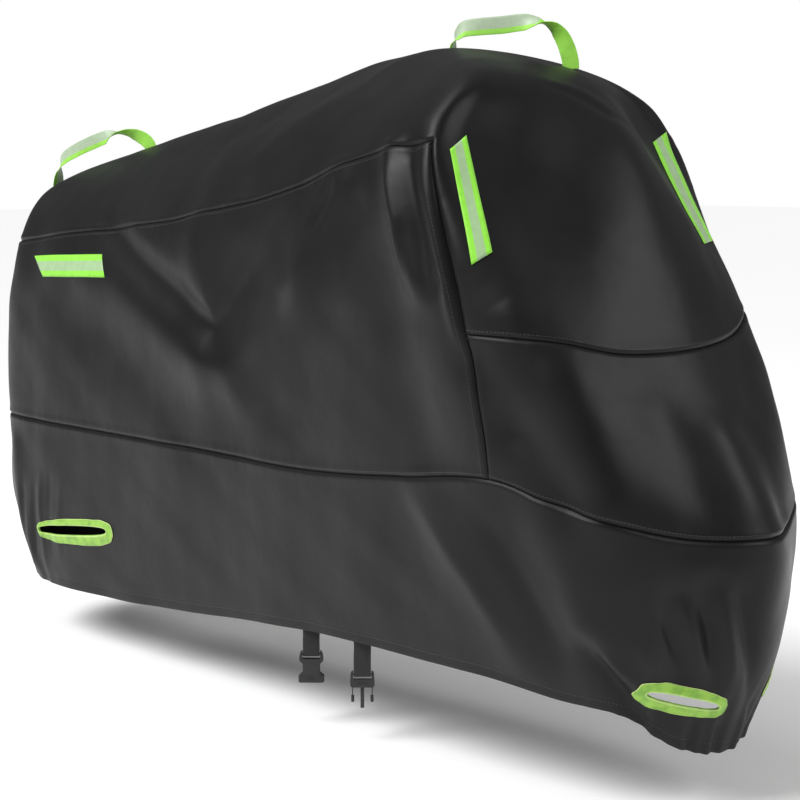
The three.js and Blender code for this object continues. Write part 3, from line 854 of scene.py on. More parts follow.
def grid(columns: int, rows: int) -> tuple[bmesh.types.BMesh, list]:
    """A flat grid.

    Args:
        columns: How many vertices it has along.
        rows: How many it has across.

    Returns:
        The bmesh, and its vertices row by row.
    """
    bm = bmesh.new()
    bmesh.ops.create_grid(bm, x_segments=columns - 1, y_segments=rows - 1, size=1)
    verts = sorted(bm.verts, key=lambda vert: (round(vert.co.y, 6), round(vert.co.x, 6)))
    return bm, verts


def lay(bm: bmesh.types.BMesh, verts: list, places: np.ndarray, texture: np.ndarray) -> None:
    """Moves a grid's vertices to their places and gives the grid its UV map.

    Args:
        bm: The grid.
        verts: Its vertices.
        places: Where each goes, in metres in the frame.
        texture: The UV of each, in metres along the cloth.
    """
    for index, (vert, place) in enumerate(zip(verts, places)):
        vert.co = place
        vert.index = index
    layer = bm.loops.layers.uv.new("UVMap")
    for face in bm.faces:
        for loop in face.loops:
            loop[layer].uv = texture[loop.vert.index]


def spread(start: float, end: float, length: float, step: float, fine_start: bool,
           fine_end: bool) -> np.ndarray:
    """Places from one value to another, closer together beside a seam.

    Args:
        start: The first value.
        end: The last value.
        length: How far apart they are, in millimetres.
        step: How far apart the places are, in millimetres.
        fine_start: Whether a seam runs along the start.
        fine_end: Whether one runs along the end.

    Returns:
        The values.
    """
    first = BESIDE_SEAM if fine_start else (0,)
    last = BESIDE_SEAM if fine_end else (0,)
    room = length - first[-1] - last[-1]
    count = max(int(round(room / step)), 2)
    middle = first[-1] + room * np.arange(1, count) / count
    offsets = np.concatenate([first, middle, length - np.array(last[::-1])])
    return start + (end - start) * offsets / length


def even(low: float, high: float, other: float, upright: bool) -> np.ndarray:
    """Maps equal steps along a line of the cover to how far round or up they are.

    Args:
        low: Where the line starts.
        high: Where it ends.
        other: The coordinate that stays the same.
        upright: Whether the line runs up rather than round.

    Returns:
        Two rows: the distance along the line in millimetres, and the coordinate there.
    """
    values = np.linspace(low, high, LINE_SAMPLES)
    fixed = np.full_like(values, other)
    points = FORM.smooth(fixed, values) if upright else FORM.smooth(values, fixed)
    gaps = np.linalg.norm(np.diff(points, axis=0), axis=1)
    return np.stack([np.concatenate([[0], np.cumsum(gaps)]), values])


def stations(low: float, high: float, other: float, upright: bool, step: float,
             fine_low: bool, fine_high: bool) -> np.ndarray:
    """Where a grid's rows or columns lie between two borders.

    Args:
        low: The first border.
        high: The last border.
        other: The coordinate of the line that the spacing is measured on.
        upright: Whether the line runs up.
        step: The spacing, in millimetres.
        fine_low: Whether a seam runs along the first border.
        fine_high: Whether one runs along the last.

    Returns:
        The coordinate of each row or column.
    """
    lengths, values = even(low, high, other, upright)
    offsets = spread(0, lengths[-1], lengths[-1], step, fine_low, fine_high)
    return np.interp(offsets, lengths, values)


# Seams.


@dataclass(frozen=True)
class SeamLine:
    """A seam along the cover, from place to place in steps round and up."""

    name: str
    corners: tuple

    def places(self, step: float = 1.0) -> tuple[np.ndarray, np.ndarray]:
        """Places along the seam, as how far round and how far up they are.

        Args:
            step: How far apart they are, in millimetres.

        Returns:
            The two coordinates.
        """
        around, up = [], []
        for (a0, v0), (a1, v1) in zip(self.corners, self.corners[1:]):
            share = np.linspace(0, 1, SEAM_SAMPLES)
            line_a, line_v = a0 + (a1 - a0) * share, v0 + (v1 - v0) * share
            points = FORM.smooth(line_a, line_v)
            length = np.concatenate([[0], np.cumsum(np.linalg.norm(np.diff(points, axis=0), axis=1))])
            even_share = np.interp(np.arange(0, length[-1], step), length, share)
            around.append(a0 + (a1 - a0) * even_share)
            up.append(v0 + (v1 - v0) * even_share)
        around.append([self.corners[-1][0]])
        up.append([self.corners[-1][1]])
        return np.concatenate(around), np.concatenate(up)


SEAMS = (
    SeamLine("upper", ((CORNER, SHOULDER), (0, SHOULDER), (-CORNER, SHOULDER))),
    SeamLine("corner_right", ((CORNER, LOW), (CORNER, SHOULDER))),
    SeamLine("corner_left", ((ROUND - CORNER, LOW), (ROUND - CORNER, SHOULDER))),
    SeamLine("cross", ((CORNER, WAIST), (ROUND - CORNER, WAIST))),
    SeamLine("low", ((0, LOW), (ROUND, LOW))),
    SeamLine("tail", ((0, LOW), (0, SHOULDER))),
    SeamLine("tail_skirt", ((0, 0.05), (0, LOW))),
)


class SeamMap:
    """How far any place on the cloth is from the nearest seam, and how far along that seam.

    A seam draws the cloth in, the cloth swells a little beside it, and small puckers run along it and
    die away from it.
    """

    # The groove's depth and reach and how hollow it is, then the swell's height, its distance from the
    # seam and its reach, in millimetres.
    GROOVE_DEEP, GROOVE_REACH, GROOVE_HOLLOW = 3.6, 5.5, 1.4
    SWELL_HIGH, SWELL_AWAY, SWELL_REACH = 0.8, 9, 5
    # The puckers' height, how far from the seam they are whole and where they die away, the length and
    # share of each wave in them, and their seed.
    PUCKER_HIGH, PUCKER_START, PUCKER_REACH = 0.16, 3, 20
    PUCKER_WAVES = ((17, 0.5), (23, 0.6), (31, 0.7), (47, 0.6), (83, 0.4), (131, 0.5))
    PUCKER_SEED = 5
    # How far apart two seams' runs are counted, so that their puckers differ.
    RUN_APART = 4000.0

    def __init__(self) -> None:
        """Samples every seam once a millimetre."""
        spots, self.runs = [], []
        for number, seam in enumerate(SEAMS):
            points = FORM.smooth(*seam.places())
            spots.append(points)
            self.runs.append(np.arange(len(points)) + self.RUN_APART * number)
        self.spots = np.concatenate(spots)
        self.runs = np.concatenate(self.runs)
        self.tree = KDTree(len(self.spots))
        for index, spot in enumerate(self.spots):
            self.tree.insert(spot, index)
        self.tree.balance()
        rng = np.random.default_rng(self.PUCKER_SEED)
        self.waves = [(2 * math.pi / length, rng.uniform(*PHASES), size)
                      for length, size in self.PUCKER_WAVES]

    def dip(self, points: np.ndarray) -> np.ndarray:
        """How far the seams draw the cloth in, with the puckers beside them.

        Args:
            points: Places on the unfolded cloth, in millimetres.

        Returns:
            The lift at each, in millimetres, negative where it is drawn in.
        """
        found = [self.tree.find(point)[1:] for point in points]
        run = self.runs[[index for index, _ in found]]
        gap = np.array([distance for _, distance in found])
        groove = -self.GROOVE_DEEP * np.clip(1 - gap / self.GROOVE_REACH, 0, 1) ** self.GROOVE_HOLLOW
        swell = self.SWELL_HIGH * np.exp(-(((gap - self.SWELL_AWAY) / self.SWELL_REACH) ** 2))
        pucker = sum(size * np.sin(run * rate + phase) for rate, phase, size in self.waves)
        reach = np.exp(-((gap / self.PUCKER_REACH) ** 2)) * np.clip(gap / self.PUCKER_START, 0, 1)
        return groove + swell + self.PUCKER_HIGH * pucker * reach


SEAM_MAP = SeamMap()


def dressed(around: np.ndarray, up: np.ndarray) -> tuple[np.ndarray, np.ndarray]:
    """Places on the finished cloth, with its folds and seams, and the way out of it.

    Args:
        around: How far round each place is.
        up: How far up it is.

    Returns:
        The places and the unit vectors, in millimetres above the ground.
    """
    points, normals = FORM.cloth(around, up)
    dip = SEAM_MAP.dip(FORM.smooth(around, up))
    return points + normals * dip[:, None], normals


# The panels.


class Border(Flag):
    """The borders of a patch."""

    NONE = 0
    LEFT = auto()
    RIGHT = auto()
    LOW = auto()
    HIGH = auto()
    ALL = LEFT | RIGHT | LOW | HIGH


@dataclass(frozen=True)
class Patch:
    """A part of a panel between two places round and two up.

    Rows and columns lie closer together beside its seams and its fine borders, and the borders that are
    seams stand back by half of the seam's gap. They are spaced evenly on the lines at measured_up and
    measured_round.
    """

    around: tuple
    up: tuple
    measured_up: float
    measured_round: float
    seams: Border = Border.NONE
    fine: Border = Border.NONE


@dataclass
class Panel:
    """A cut panel of the cover."""

    name: str
    patches: tuple
    flat: tuple
    area: float
    cell: float = 6.5
    thick: float = 0.0009

    def shape(self, bm: bmesh.types.BMesh) -> None:
        """Adds each patch to a bmesh and joins them.

        Args:
            bm: An empty bmesh.
        """
        for patch in self.patches:
            part = self.patch_mesh(patch)
            mesh = bpy.data.meshes.new("patch")
            part.to_mesh(mesh)
            part.free()
            bm.from_mesh(mesh)
            bpy.data.meshes.remove(mesh)
        bmesh.ops.remove_doubles(bm, verts=bm.verts, dist=1e-5)

    def patch_mesh(self, patch: Patch) -> bmesh.types.BMesh:
        """A patch as a grid laid on the cloth.

        Args:
            patch: The patch.

        Returns:
            Its bmesh, with a UV map in metres.
        """
        left, right = patch.around
        low, high = patch.up
        left += SEAM_ROUND * (Border.LEFT in patch.seams)
        right -= SEAM_ROUND * (Border.RIGHT in patch.seams)
        low += SEAM_UP * (Border.LOW in patch.seams)
        high -= SEAM_UP * (Border.HIGH in patch.seams)
        fine = patch.seams | patch.fine
        columns = stations(left, right, patch.measured_up, False, self.cell,
                           Border.LEFT in fine, Border.RIGHT in fine)
        rows = stations(low, high, patch.measured_round, True, self.cell,
                        Border.LOW in fine, Border.HIGH in fine)
        return self.laid(columns, rows, np.zeros(len(rows)))

    def laid(self, columns: np.ndarray, rows: np.ndarray, sunk: np.ndarray) -> bmesh.types.BMesh:
        """Lays a grid on the cloth.

        Args:
            columns: How far round each column lies.
            rows: How far up each row lies.
            sunk: How far inside the cloth each row lies, in millimetres.

        Returns:
            The grid's bmesh, with a UV map in metres.
        """
        bm, verts = grid(len(columns), len(rows))
        around, up = np.tile(columns, len(rows)), np.repeat(rows, len(columns))
        points, normals = dressed(around, up)
        lift = self.relief(around, up) - np.repeat(sunk, len(columns))
        points = points + normals * lift[:, None]
        shaped = points.reshape(len(rows), len(columns), 3)
        run = self.lengths(shaped[len(rows) // 2])
        rise = self.lengths(shaped[:, len(columns) // 2])
        texture = np.stack([np.tile(run, len(rows)), np.repeat(rise, len(columns))], axis=1) * MM
        lay(bm, verts, in_frame(points), texture)
        return bm

    def relief(self, around: np.ndarray, up: np.ndarray) -> np.ndarray:
        """What the panel adds to the cloth's own folds, in millimetres."""
        return np.zeros(len(around))

    @staticmethod
    def lengths(points: np.ndarray) -> np.ndarray:
        """Distances along a row of points, from its first."""
        gaps = np.linalg.norm(np.diff(points, axis=0), axis=1)
        return np.concatenate([[0], np.cumsum(gaps)])

    def build(self, material: bpy.types.Material) -> bpy.types.Object:
        """Args:
            material: The cloth's material.

        Returns:
            The panel.
        """
        bm = bmesh.new()
        self.shape(bm)
        self.cut(bm)
        piece = new_piece(f"cloth_{self.name}", bm, material)
        thicken(piece, self.thick)
        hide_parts(self.name)
        return piece

    def cut(self, bm: bmesh.types.BMesh) -> None:
        """Cuts openings in the panel, where it has any."""


@dataclass
class Skirt(Panel):
    """The lower panel all round, with its turned hem and the lock holes.

    The hem's height, depth and stitch line, the stitches' groove, and the gathers' height and how far up
    they reach are in millimetres. How far the gathers run round from the nose and the tail is in steps of
    the net of sections.
    """

    holes: tuple = ()
    hem_up: float = 20.0
    hem_deep: float = 1.6
    hem_stitch: float = 17.0
    groove_deep: float = 0.6
    groove_wide: float = 2.5
    gather_high: float = 2.2
    gather_up: float = 75
    gather_nose: float = 2.0
    gather_tail: float = 1.7
    surface: BVHTree | None = None

    def patch_mesh(self, patch: Patch) -> bmesh.types.BMesh:
        """The skirt's grid, with rows for the hem that is turned up inside.

        Args:
            patch: The skirt's patch.

        Returns:
            Its bmesh.
        """
        left, right = patch.around
        columns = stations(left + SEAM_ROUND, right - SEAM_ROUND, patch.measured_up, False, self.cell,
                           True, True)
        outer = stations(0, patch.up[1] - SEAM_UP, patch.measured_round, True, self.cell, True, True)
        # The turned rows: how far above the lower edge each is, and how much of the hem's depth it has.
        turned = ((self.hem_up, 1), (13, 1), (6, 1), (1.5, 1), (0.2, 0.7))
        edge_share = 0.25
        rows = np.concatenate([[height / self.up_length() for height, _ in turned], outer])
        sunk = np.concatenate([[self.hem_deep * share for _, share in turned], np.zeros(len(outer))])
        sunk[len(turned)] = self.hem_deep * edge_share
        return self.laid(columns, rows, sunk)

    @staticmethod
    def up_length() -> float:
        """How many millimetres a step up from the hem is, on the near side."""
        lengths, values = even(0, 0.1, 5.0, True)
        return lengths[-1] / values[-1]

    def relief(self, around: np.ndarray, up: np.ndarray) -> np.ndarray:
        """The hem's stitched groove, and the small gathers that its elastic makes at the nose and the tail.

        Args:
            around: How far round each place is.
            up: How far up it is.

        Returns:
            The lift at each, in millimetres.
        """
        height = up * self.up_length()
        stitched = -self.groove_deep * np.exp(-(((height - self.hem_stitch) / self.groove_wide) ** 2))
        nose = np.exp(-(((around - NOSE) / self.gather_nose) ** 4))
        tail = np.exp(-((np.minimum(around, ROUND - around) / self.gather_tail) ** 4))
        gathers = np.sin(around * 14.5 + 1.1 * np.sin(around * 5.3)) + 0.6 * np.sin(around * 25.7 + 2.0)
        fall = np.exp(-((height / self.gather_up) ** 2))
        return stitched + self.gather_high * gathers * np.maximum(nose, tail) * fall

    def cut(self, bm: bmesh.types.BMesh) -> None:
        """Keeps the uncut surface for the bindings, and cuts the lock holes.

        Args:
            bm: The skirt's mesh.
        """
        self.surface = BVHTree.FromBMesh(bm)
        places = np.array([vert.co for vert in bm.verts])
        margin = 2.0
        over = np.any([hole.covers(places, margin) for hole in self.holes], axis=0)
        bm.verts.index_update()
        inside = [face for face in bm.faces if any(over[vert.index] for vert in face.verts)]
        bmesh.ops.delete(bm, geom=inside, context="FACES")


# Lock holes.

# How far from a piece's own plane the cloth under it may lie, in millimetres, and how far a ray runs to
# find it, in metres.
SEARCH_DEPTH, SEARCH_RAY = 60, 0.2


@dataclass(frozen=True)
class LockHole:
    """A lock hole in the skirt, bound with tape: a slot with full round ends.

    Its centre, run, length, height and the binding's width are in millimetres above the ground. The
    binding is wider below the slot and narrower above it by how far it sags, and the taper is the share
    of its width that it loses at the far end, or at the near end where it is negative.
    """

    name: str
    centre: tuple
    run: tuple
    long: float
    tall: float
    bound: float
    sag: float
    taper: float
    squareness: float = 0.7

    def axes(self) -> tuple[np.ndarray, np.ndarray, np.ndarray]:
        """The slot's own directions.

        Returns:
            The unit vectors along the slot, up across it, and out of the cloth.
        """
        along = np.array(self.run, float) / np.linalg.norm(self.run)
        outward = np.cross(along, (0, 0, 1))
        outward /= np.linalg.norm(outward)
        if outward[1] * self.centre[1] < 0:
            outward = -outward
        rise = np.cross(outward, along)
        return along, rise / np.linalg.norm(rise), outward

    def outline(self, angle: np.ndarray, margin: float) -> tuple[np.ndarray, np.ndarray]:
        """The outline in the slot's own plane.

        Args:
            angle: Where round the slot, in radians.
            margin: How far outside the opening, in millimetres.

        Returns:
            The distances along and across the slot.
        """
        cos, sin = np.cos(angle), np.sin(angle)
        return (np.sign(cos) * np.abs(cos) ** self.squareness * (self.long / 2 + margin),
                np.sign(sin) * np.abs(sin) ** self.squareness * (self.tall / 2 + margin))

    def covers(self, places: np.ndarray, margin: float) -> np.ndarray:
        """Which places in the frame lie over the opening.

        Args:
            places: The places, in metres.
            margin: How far outside the opening still counts, in millimetres.

        Returns:
            True for each place that does.
        """
        along, rise, outward = self.axes()
        offsets = places / MM + MOUNT - np.array(self.centre, float)
        power = 2 / self.squareness
        x = np.abs(offsets @ along) / (self.long / 2 + margin)
        y = np.abs(offsets @ rise) / (self.tall / 2 + margin)
        return (np.abs(offsets @ outward) < SEARCH_DEPTH) & (x ** power + y ** power < 1)


LOCK_HOLES = (
    LockHole("binding_front_right", (206, -101, 192), (0.48, 0.85, -0.24),
             long=117, tall=14, bound=18, sag=0, taper=0.2),
    LockHole("binding_front_left", (197, 116, 196), (-0.48, 0.85, 0.24),
             long=96, tall=14, bound=18, sag=0, taper=0.2),
    LockHole("binding_rear_right", (-1334, -184, 247), (1, -0.07, 0.13),
             long=268, tall=20, bound=23, sag=5, taper=-0.55),
    LockHole("binding_rear_left", (-1334, 184, 247), (-1, -0.07, -0.13),
             long=268, tall=20, bound=23, sag=5, taper=0.55),
)


def drop(surface: BVHTree, place: np.ndarray, outward: np.ndarray) -> tuple[np.ndarray, np.ndarray]:
    """Finds the cloth under a place.

    Args:
        surface: The cloth.
        place: The place, in millimetres above the ground.
        outward: The way out of the cloth there.

    Returns:
        The place on the cloth in millimetres, and the cloth's own way out.
    """
    start = Vector(in_frame(place + outward * SEARCH_DEPTH))
    hit, normal, _, _ = surface.ray_cast(start, Vector(-outward), SEARCH_RAY)
    if hit is None:
        hit, normal, _, _ = surface.find_nearest(Vector(in_frame(place)))
    way = np.array(normal)
    if way @ outward < 0:
        way = -way
    return np.array(hit) / MM + MOUNT, way


@dataclass
class Binding:
    """Tape folded over the edge of a lock hole, with its rolled edge and creases."""

    hole: LockHole
    steps: int = 168
    lift: float = 0.5
    uneven: float = 1.5
    thick: float = 0.0005

    # How many waves run round the tape, in its outer edge and in its wrinkles.
    EDGE_WAVES = (5, 9, 14)
    WRINKLE_WAVES = (11, 17, 26, 39)
    # Across the tape, from its outer edge over the rolled edge of the hole to its inner side: the share
    # of its width, and how far out of the cloth it lies in millimetres.
    PROFILE = ((1.0, 0.1), (0.985, 1.1), (0.93, 1.5), (0.82, 1.3), (0.66, 1.5), (0.5, 1.9), (0.34, 2.3),
               (0.2, 2.6), (0.09, 2.4), (0.02, 1.6), (0.0, 0.4), (0.02, -1.0), (0.1, -2.0), (0.3, -2.3),
               (0.6, -2.2), (0.93, -2.0), (1.0, -1.4))

    def build(self, surface: BVHTree, material: bpy.types.Material) -> bpy.types.Object:
        """Makes the binding on the skirt.

        Args:
            surface: The uncut skirt.
            material: The tape's material.

        Returns:
            The binding.
        """
        angles = np.linspace(0, 2 * math.pi, self.steps + 1)
        along, rise, outward = self.hole.axes()
        centre = np.array(self.hole.centre, float)
        rng = np.random.default_rng(int(abs(centre[0])) + (3 if centre[1] > 0 else 0))
        phases = rng.uniform(*PHASES, 6)
        bm, verts = grid(self.steps + 1, len(self.PROFILE))
        rim = [centre + x * along + y * rise for x, y in zip(*self.hole.outline(angles, 0))]
        length = Panel.lengths(np.array(rim))
        far_end = (1 + math.copysign(1, self.hole.taper) * np.cos(angles)) / 2
        taper = 1 - abs(self.hole.taper) * far_end
        places, texture = [], []
        for row, (share, out) in enumerate(self.PROFILE):
            waves = [np.sin(count * angles + phase) for count, phase in zip(self.EDGE_WAVES, phases)]
            edge = self.uneven * sum(waves) / len(waves)
            margin = share * (self.hole.bound + edge * share - self.hole.sag * np.sin(angles)) * taper
            xs, ys = self.hole.outline(angles, margin)
            waves = [np.sin(count * angles + phase + share * 2)
                     for count, phase in zip(self.WRINKLE_WAVES, phases)]
            wrinkle = sum(waves) / len(waves)
            turned = np.abs(np.cos(angles)) ** 3
            lift = out + np.sign(out) * wrinkle * (0.4 + 0.8 * turned) * share * (1.2 - share)
            for index in range(len(angles)):
                spot, way = drop(surface, centre + xs[index] * along + ys[index] * rise, outward)
                places.append(spot + way * (lift[index] + self.lift * (out > 0)))
                texture.append((length[index] * MM, row / (len(self.PROFILE) - 1)))
        lay(bm, verts, in_frame(np.array(places)), np.array(texture))
        bmesh.ops.remove_doubles(bm, verts=bm.verts, dist=1e-6)
        bmesh.ops.recalc_face_normals(bm, faces=bm.faces)
        piece = new_piece(self.hole.name.replace("binding", "hole_tape"), bm, material)
        thicken(piece, self.thick, 1.0)
        smooth = piece.modifiers.new("smooth", "SUBSURF")
        smooth.levels = smooth.render_levels = 1
        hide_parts(self.hole.name)
        return piece


# Reflective strips.


@dataclass(frozen=True)
class Strip:
    """A reflective strip sewn flat to a panel, by its four corners in millimetres above the ground.

    The first two corners are the ends of one long edge, and the last two those of the other.
    """

    name: str
    panel: str
    corners: tuple
    wide: float = 43
    lift: float = 0.7
    thick: float = 0.0007
    cell: float = 5

    def build(self, surface: BVHTree, material: bpy.types.Material) -> bpy.types.Object:
        """Makes the strip on its panel.

        Args:
            surface: The panel's outer face.
            material: The tape's material.

        Returns:
            The strip.
        """
        a, b, c, d = (np.array(corner, float) for corner in self.corners)
        outward = np.cross(c - a, d - b)
        outward /= np.linalg.norm(outward)
        long = np.linalg.norm(b - a)
        columns, rows = int(long / self.cell) + 1, int(self.wide / self.cell) + 1
        bm, verts = grid(columns, rows)
        places, texture = [], []
        for v in np.linspace(0, 1, rows):
            for u in np.linspace(0, 1, columns):
                spot = (a * (1 - u) + b * u) * (1 - v) + (d * (1 - u) + c * u) * v
                found, way = drop(surface, spot, outward)
                places.append(found + way * self.lift)
                texture.append((u * long * MM, v * self.wide * MM))
        lay(bm, verts, in_frame(np.array(places)), np.array(texture))
        bmesh.ops.recalc_face_normals(bm, faces=bm.faces)
        face = next(iter(bm.faces))
        if face.normal.dot(Vector(outward)) < 0:
            bmesh.ops.reverse_faces(bm, faces=bm.faces)
        piece = new_piece(self.name.replace("strip", "tape"), bm, material)
        thicken(piece, self.thick, 1.0)
        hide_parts(self.name)
        return piece


STRIPS = (
    Strip("strip_side_right", "side_panel_right",
          ((-1404, -193, 769), (-1147, -218, 780), (-1170, -208, 824), (-1459, -183, 810))),
    Strip("strip_side_left", "side_panel_left",
          ((-1147, 218, 780), (-1404, 193, 769), (-1459, 183, 810), (-1170, 208, 824))),
    Strip("strip_front_right", "hood",
          ((-129, -272, 1027), (-51, -302, 851), (-32, -276, 872), (-130, -235, 1050))),
    Strip("strip_front_left", "hood",
          ((-120, 192, 1033), (2, 172, 862), (-24, 252, 875), (-145, 264, 1055))),
)


# Webbing.


@dataclass
class Ribbon:
    """A flat length of webbing through rows of a place and the direction of its width.

    Its UV map is in metres, along it from the zero row and across it.
    """

    name: str
    node: str
    slot: str
    places: np.ndarray
    widths: np.ndarray
    width: float
    thick: float
    zero_row: int = 0
    steps: int = 6
    across: int = 9
    rounding: float = 0.3

    def build(self, material: bpy.types.Material) -> bpy.types.Object:
        """Makes the webbing.

        Args:
            material: Its material.

        Returns:
            The piece.
        """
        places, widths = self.smooth()
        tangents = np.gradient(places, axis=0)
        tangents /= np.linalg.norm(tangents, axis=1, keepdims=True)
        widths = widths - tangents * np.sum(widths * tangents, axis=1, keepdims=True)
        widths /= np.linalg.norm(widths, axis=1, keepdims=True)
        run = Panel.lengths(places)
        run -= run[self.zero_row * self.steps]
        bm, verts = grid(len(places), self.across)
        spots, texture = [], []
        for side in np.linspace(-0.5, 0.5, self.across):
            spots.append(places + widths * side * self.width)
            texture.append(np.stack([run, np.full(len(run), (side + 0.5) * self.width)], axis=1) * MM)
        lay(bm, verts, in_frame(np.concatenate(spots)), np.concatenate(texture))
        piece = new_piece(self.name, bm, material)
        thicken(piece, self.thick * MM, 0.0)
        bevel = piece.modifiers.new("edge", "BEVEL")
        bevel.width = self.thick * MM * self.rounding
        bevel.segments = 2
        bevel.limit_method = "ANGLE"
        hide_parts(self.node)
        return piece

    def smooth(self) -> tuple[np.ndarray, np.ndarray]:
        """More rows along a smooth curve through the given ones.

        Returns:
            The places and the widths' directions.
        """
        whole = np.concatenate([[2 * self.places[0] - self.places[1]], self.places,
                                [2 * self.places[-1] - self.places[-2]]])
        pieces = CoverForm.cubic(whole[:-3], whole[1:-2], whole[2:-1], whole[3:])
        share = np.arange(0, (len(self.places) - 1) * self.steps + 1) / self.steps
        index = np.minimum(share.astype(int), len(self.places) - 2)
        part = share - index
        widths = self.widths[index] * (1 - part)[:, None] + self.widths[index + 1] * part[:, None]
        return CoverForm.along(pieces[index], part), widths


# At each place along a loop, the direction of its width along the loop, across it and up. The twist
# starts at the twist row.
LOOP_ACROSS = (
    (0, 1, 0), (-0.1, 0.9, 0.3), (-0.3, 0.6, 0.7), (-0.3, 0.3, 0.9), (-0.1, 0.1, 1), (0, 0, 1),
    (0, 0.2, 1), (0.1, 0.9, 0.5), (-0.3, 0.9, -0.2), (-0.8, 0.5, -0.4), (-1, 0.2, -0.4), (-1, 0, -0.2),
    (-1, 0, -0.1), (-1, 0, 0),
)
TWIST_ROW = 7


@dataclass(frozen=True)
class GrabLoop:
    """A webbing loop on the ridge, with a silver band and a twist before its front foot.

    Its rows say how far along from the rear foot each place is, and how high above it.
    """

    name: str
    rear: tuple
    front: tuple
    rows: tuple
    width: float = 30
    thick: float = 1.2

    def build(self, material: bpy.types.Material) -> bpy.types.Object:
        """Makes the loop.

        Args:
            material: The webbing's material.

        Returns:
            The loop.
        """
        start = np.array(self.rear, float)
        span = np.array(self.front, float) - start
        along = span * (1, 1, 0) / np.linalg.norm(span[:2])
        aside = np.array([-along[1], along[0], 0])
        places = np.array([start + span * run + (0, 0, up) for run, up in self.rows])
        widths = np.array([along * a + aside * b + np.array([0, 0, c]) for a, b, c in LOOP_ACROSS])
        return Ribbon(self.name.replace("loop", "webbing_loop"), self.name, "loop_tape",
                      places, widths, self.width, self.thick, TWIST_ROW).build(material)


GRAB_LOOPS = (
    GrabLoop("loop_front", (-396, -4, 1200), (-190, 70, 1168), (
        (0, -6), (0.01, 8), (0.035, 21), (0.09, 34), (0.2, 41), (0.42, 50), (0.6, 59), (0.72, 62),
        (0.79, 60), (0.87, 54), (0.93, 42), (0.975, 23), (1, 4), (1.003, -8))),
    GrabLoop("loop_rear", (-1560, -50, 958), (-1280, -4, 1034), (
        (0, -6), (0.008, 12), (0.022, 30), (0.06, 46), (0.2, 54), (0.4, 57), (0.52, 57), (0.6, 56),
        (0.68, 52), (0.77, 44), (0.86, 33), (0.94, 18), (0.985, 4), (1.003, -8))),
)


# The belly strap and its buckle.


@dataclass(frozen=True)
class BellyStrap:
    """One end of the belly strap, sewn inside the skirt and hanging below the hem to its buckle."""

    name: str
    around: float
    hang: float
    width: float = 30
    thick: float = 1.8
    turn: float = math.radians(47)
    inside: float = 16
    loop: float = 3.6
    back: float = 16
    sewn_up: tuple = (0.62, 0.52)
    sewn_deep: float = 4.2

    def facing(self) -> tuple[np.ndarray, np.ndarray]:
        """The direction of the hanging strap's width, and the way it faces."""
        return (np.array([math.cos(self.turn), math.sin(self.turn), 0]),
                np.array([math.sin(self.turn), -math.cos(self.turn), 0]))

    def within(self, up: float, depth: float) -> np.ndarray:
        """A place inside the skirt.

        Args:
            up: How far up it is.
            depth: How far it is from the skirt's outer face, in millimetres.

        Returns:
            The place, in millimetres above the ground.
        """
        point, normal = FORM.cloth(np.array([self.around]), np.array([up]))
        level = normal[0] * (1, 1, 0)
        return point[0] - level / np.linalg.norm(level) * depth

    def bar(self) -> np.ndarray:
        """The middle of the buckle's bar."""
        _, out = self.facing()
        return self.within(0, self.inside) - (0, 0, self.hang) - out * self.loop

    def build(self, material: bpy.types.Material) -> bpy.types.Object:
        """Makes the strap.

        Args:
            material: The webbing's material.

        Returns:
            The strap.
        """
        across, out = self.facing()
        step = 0.05
        ends = FORM.smooth(np.array([self.around - step, self.around + step]), np.zeros(2))
        level = (ends[1] - ends[0]) * (1, 1, 0)
        level /= np.linalg.norm(level)
        sewn = [self.within(up, self.sewn_deep) for up in self.sewn_up]
        hem = self.within(0, self.inside)
        rows = [(place, level) for place in sewn]
        rows += [(hem * (1 - share) + sewn[1] * share, level * share + across * (1 - share))
                 for share in (0.75, 0.5, 0.25)]
        rows += [(hem, across), (hem - (0, 0, self.hang / 2), across)]
        bar = self.bar()
        down = np.array([0, 0, -self.loop])
        rows += [(bar + out * self.loop * math.cos(angle) + down * math.sin(angle), across)
                 for angle in np.linspace(0, math.pi, 7)]
        rows += [(bar - out * self.loop + np.array([0, 0, self.back]), across)]
        return Ribbon(self.name.replace("strap", "belly_strap"), self.name, "strap_webbing",
                      np.array([place for place, _ in rows]), np.array([way for _, way in rows]),
                      self.width, self.thick).build(material)


class Half(Enum):
    """The two halves of the side release buckle."""

    SOCKET = "buckle_socket"
    PLUG = "buckle_plug"


class Join(Enum):
    """What is done with a shape that meets the buckle's body."""

    ADD = "UNION"
    CUT = "DIFFERENCE"


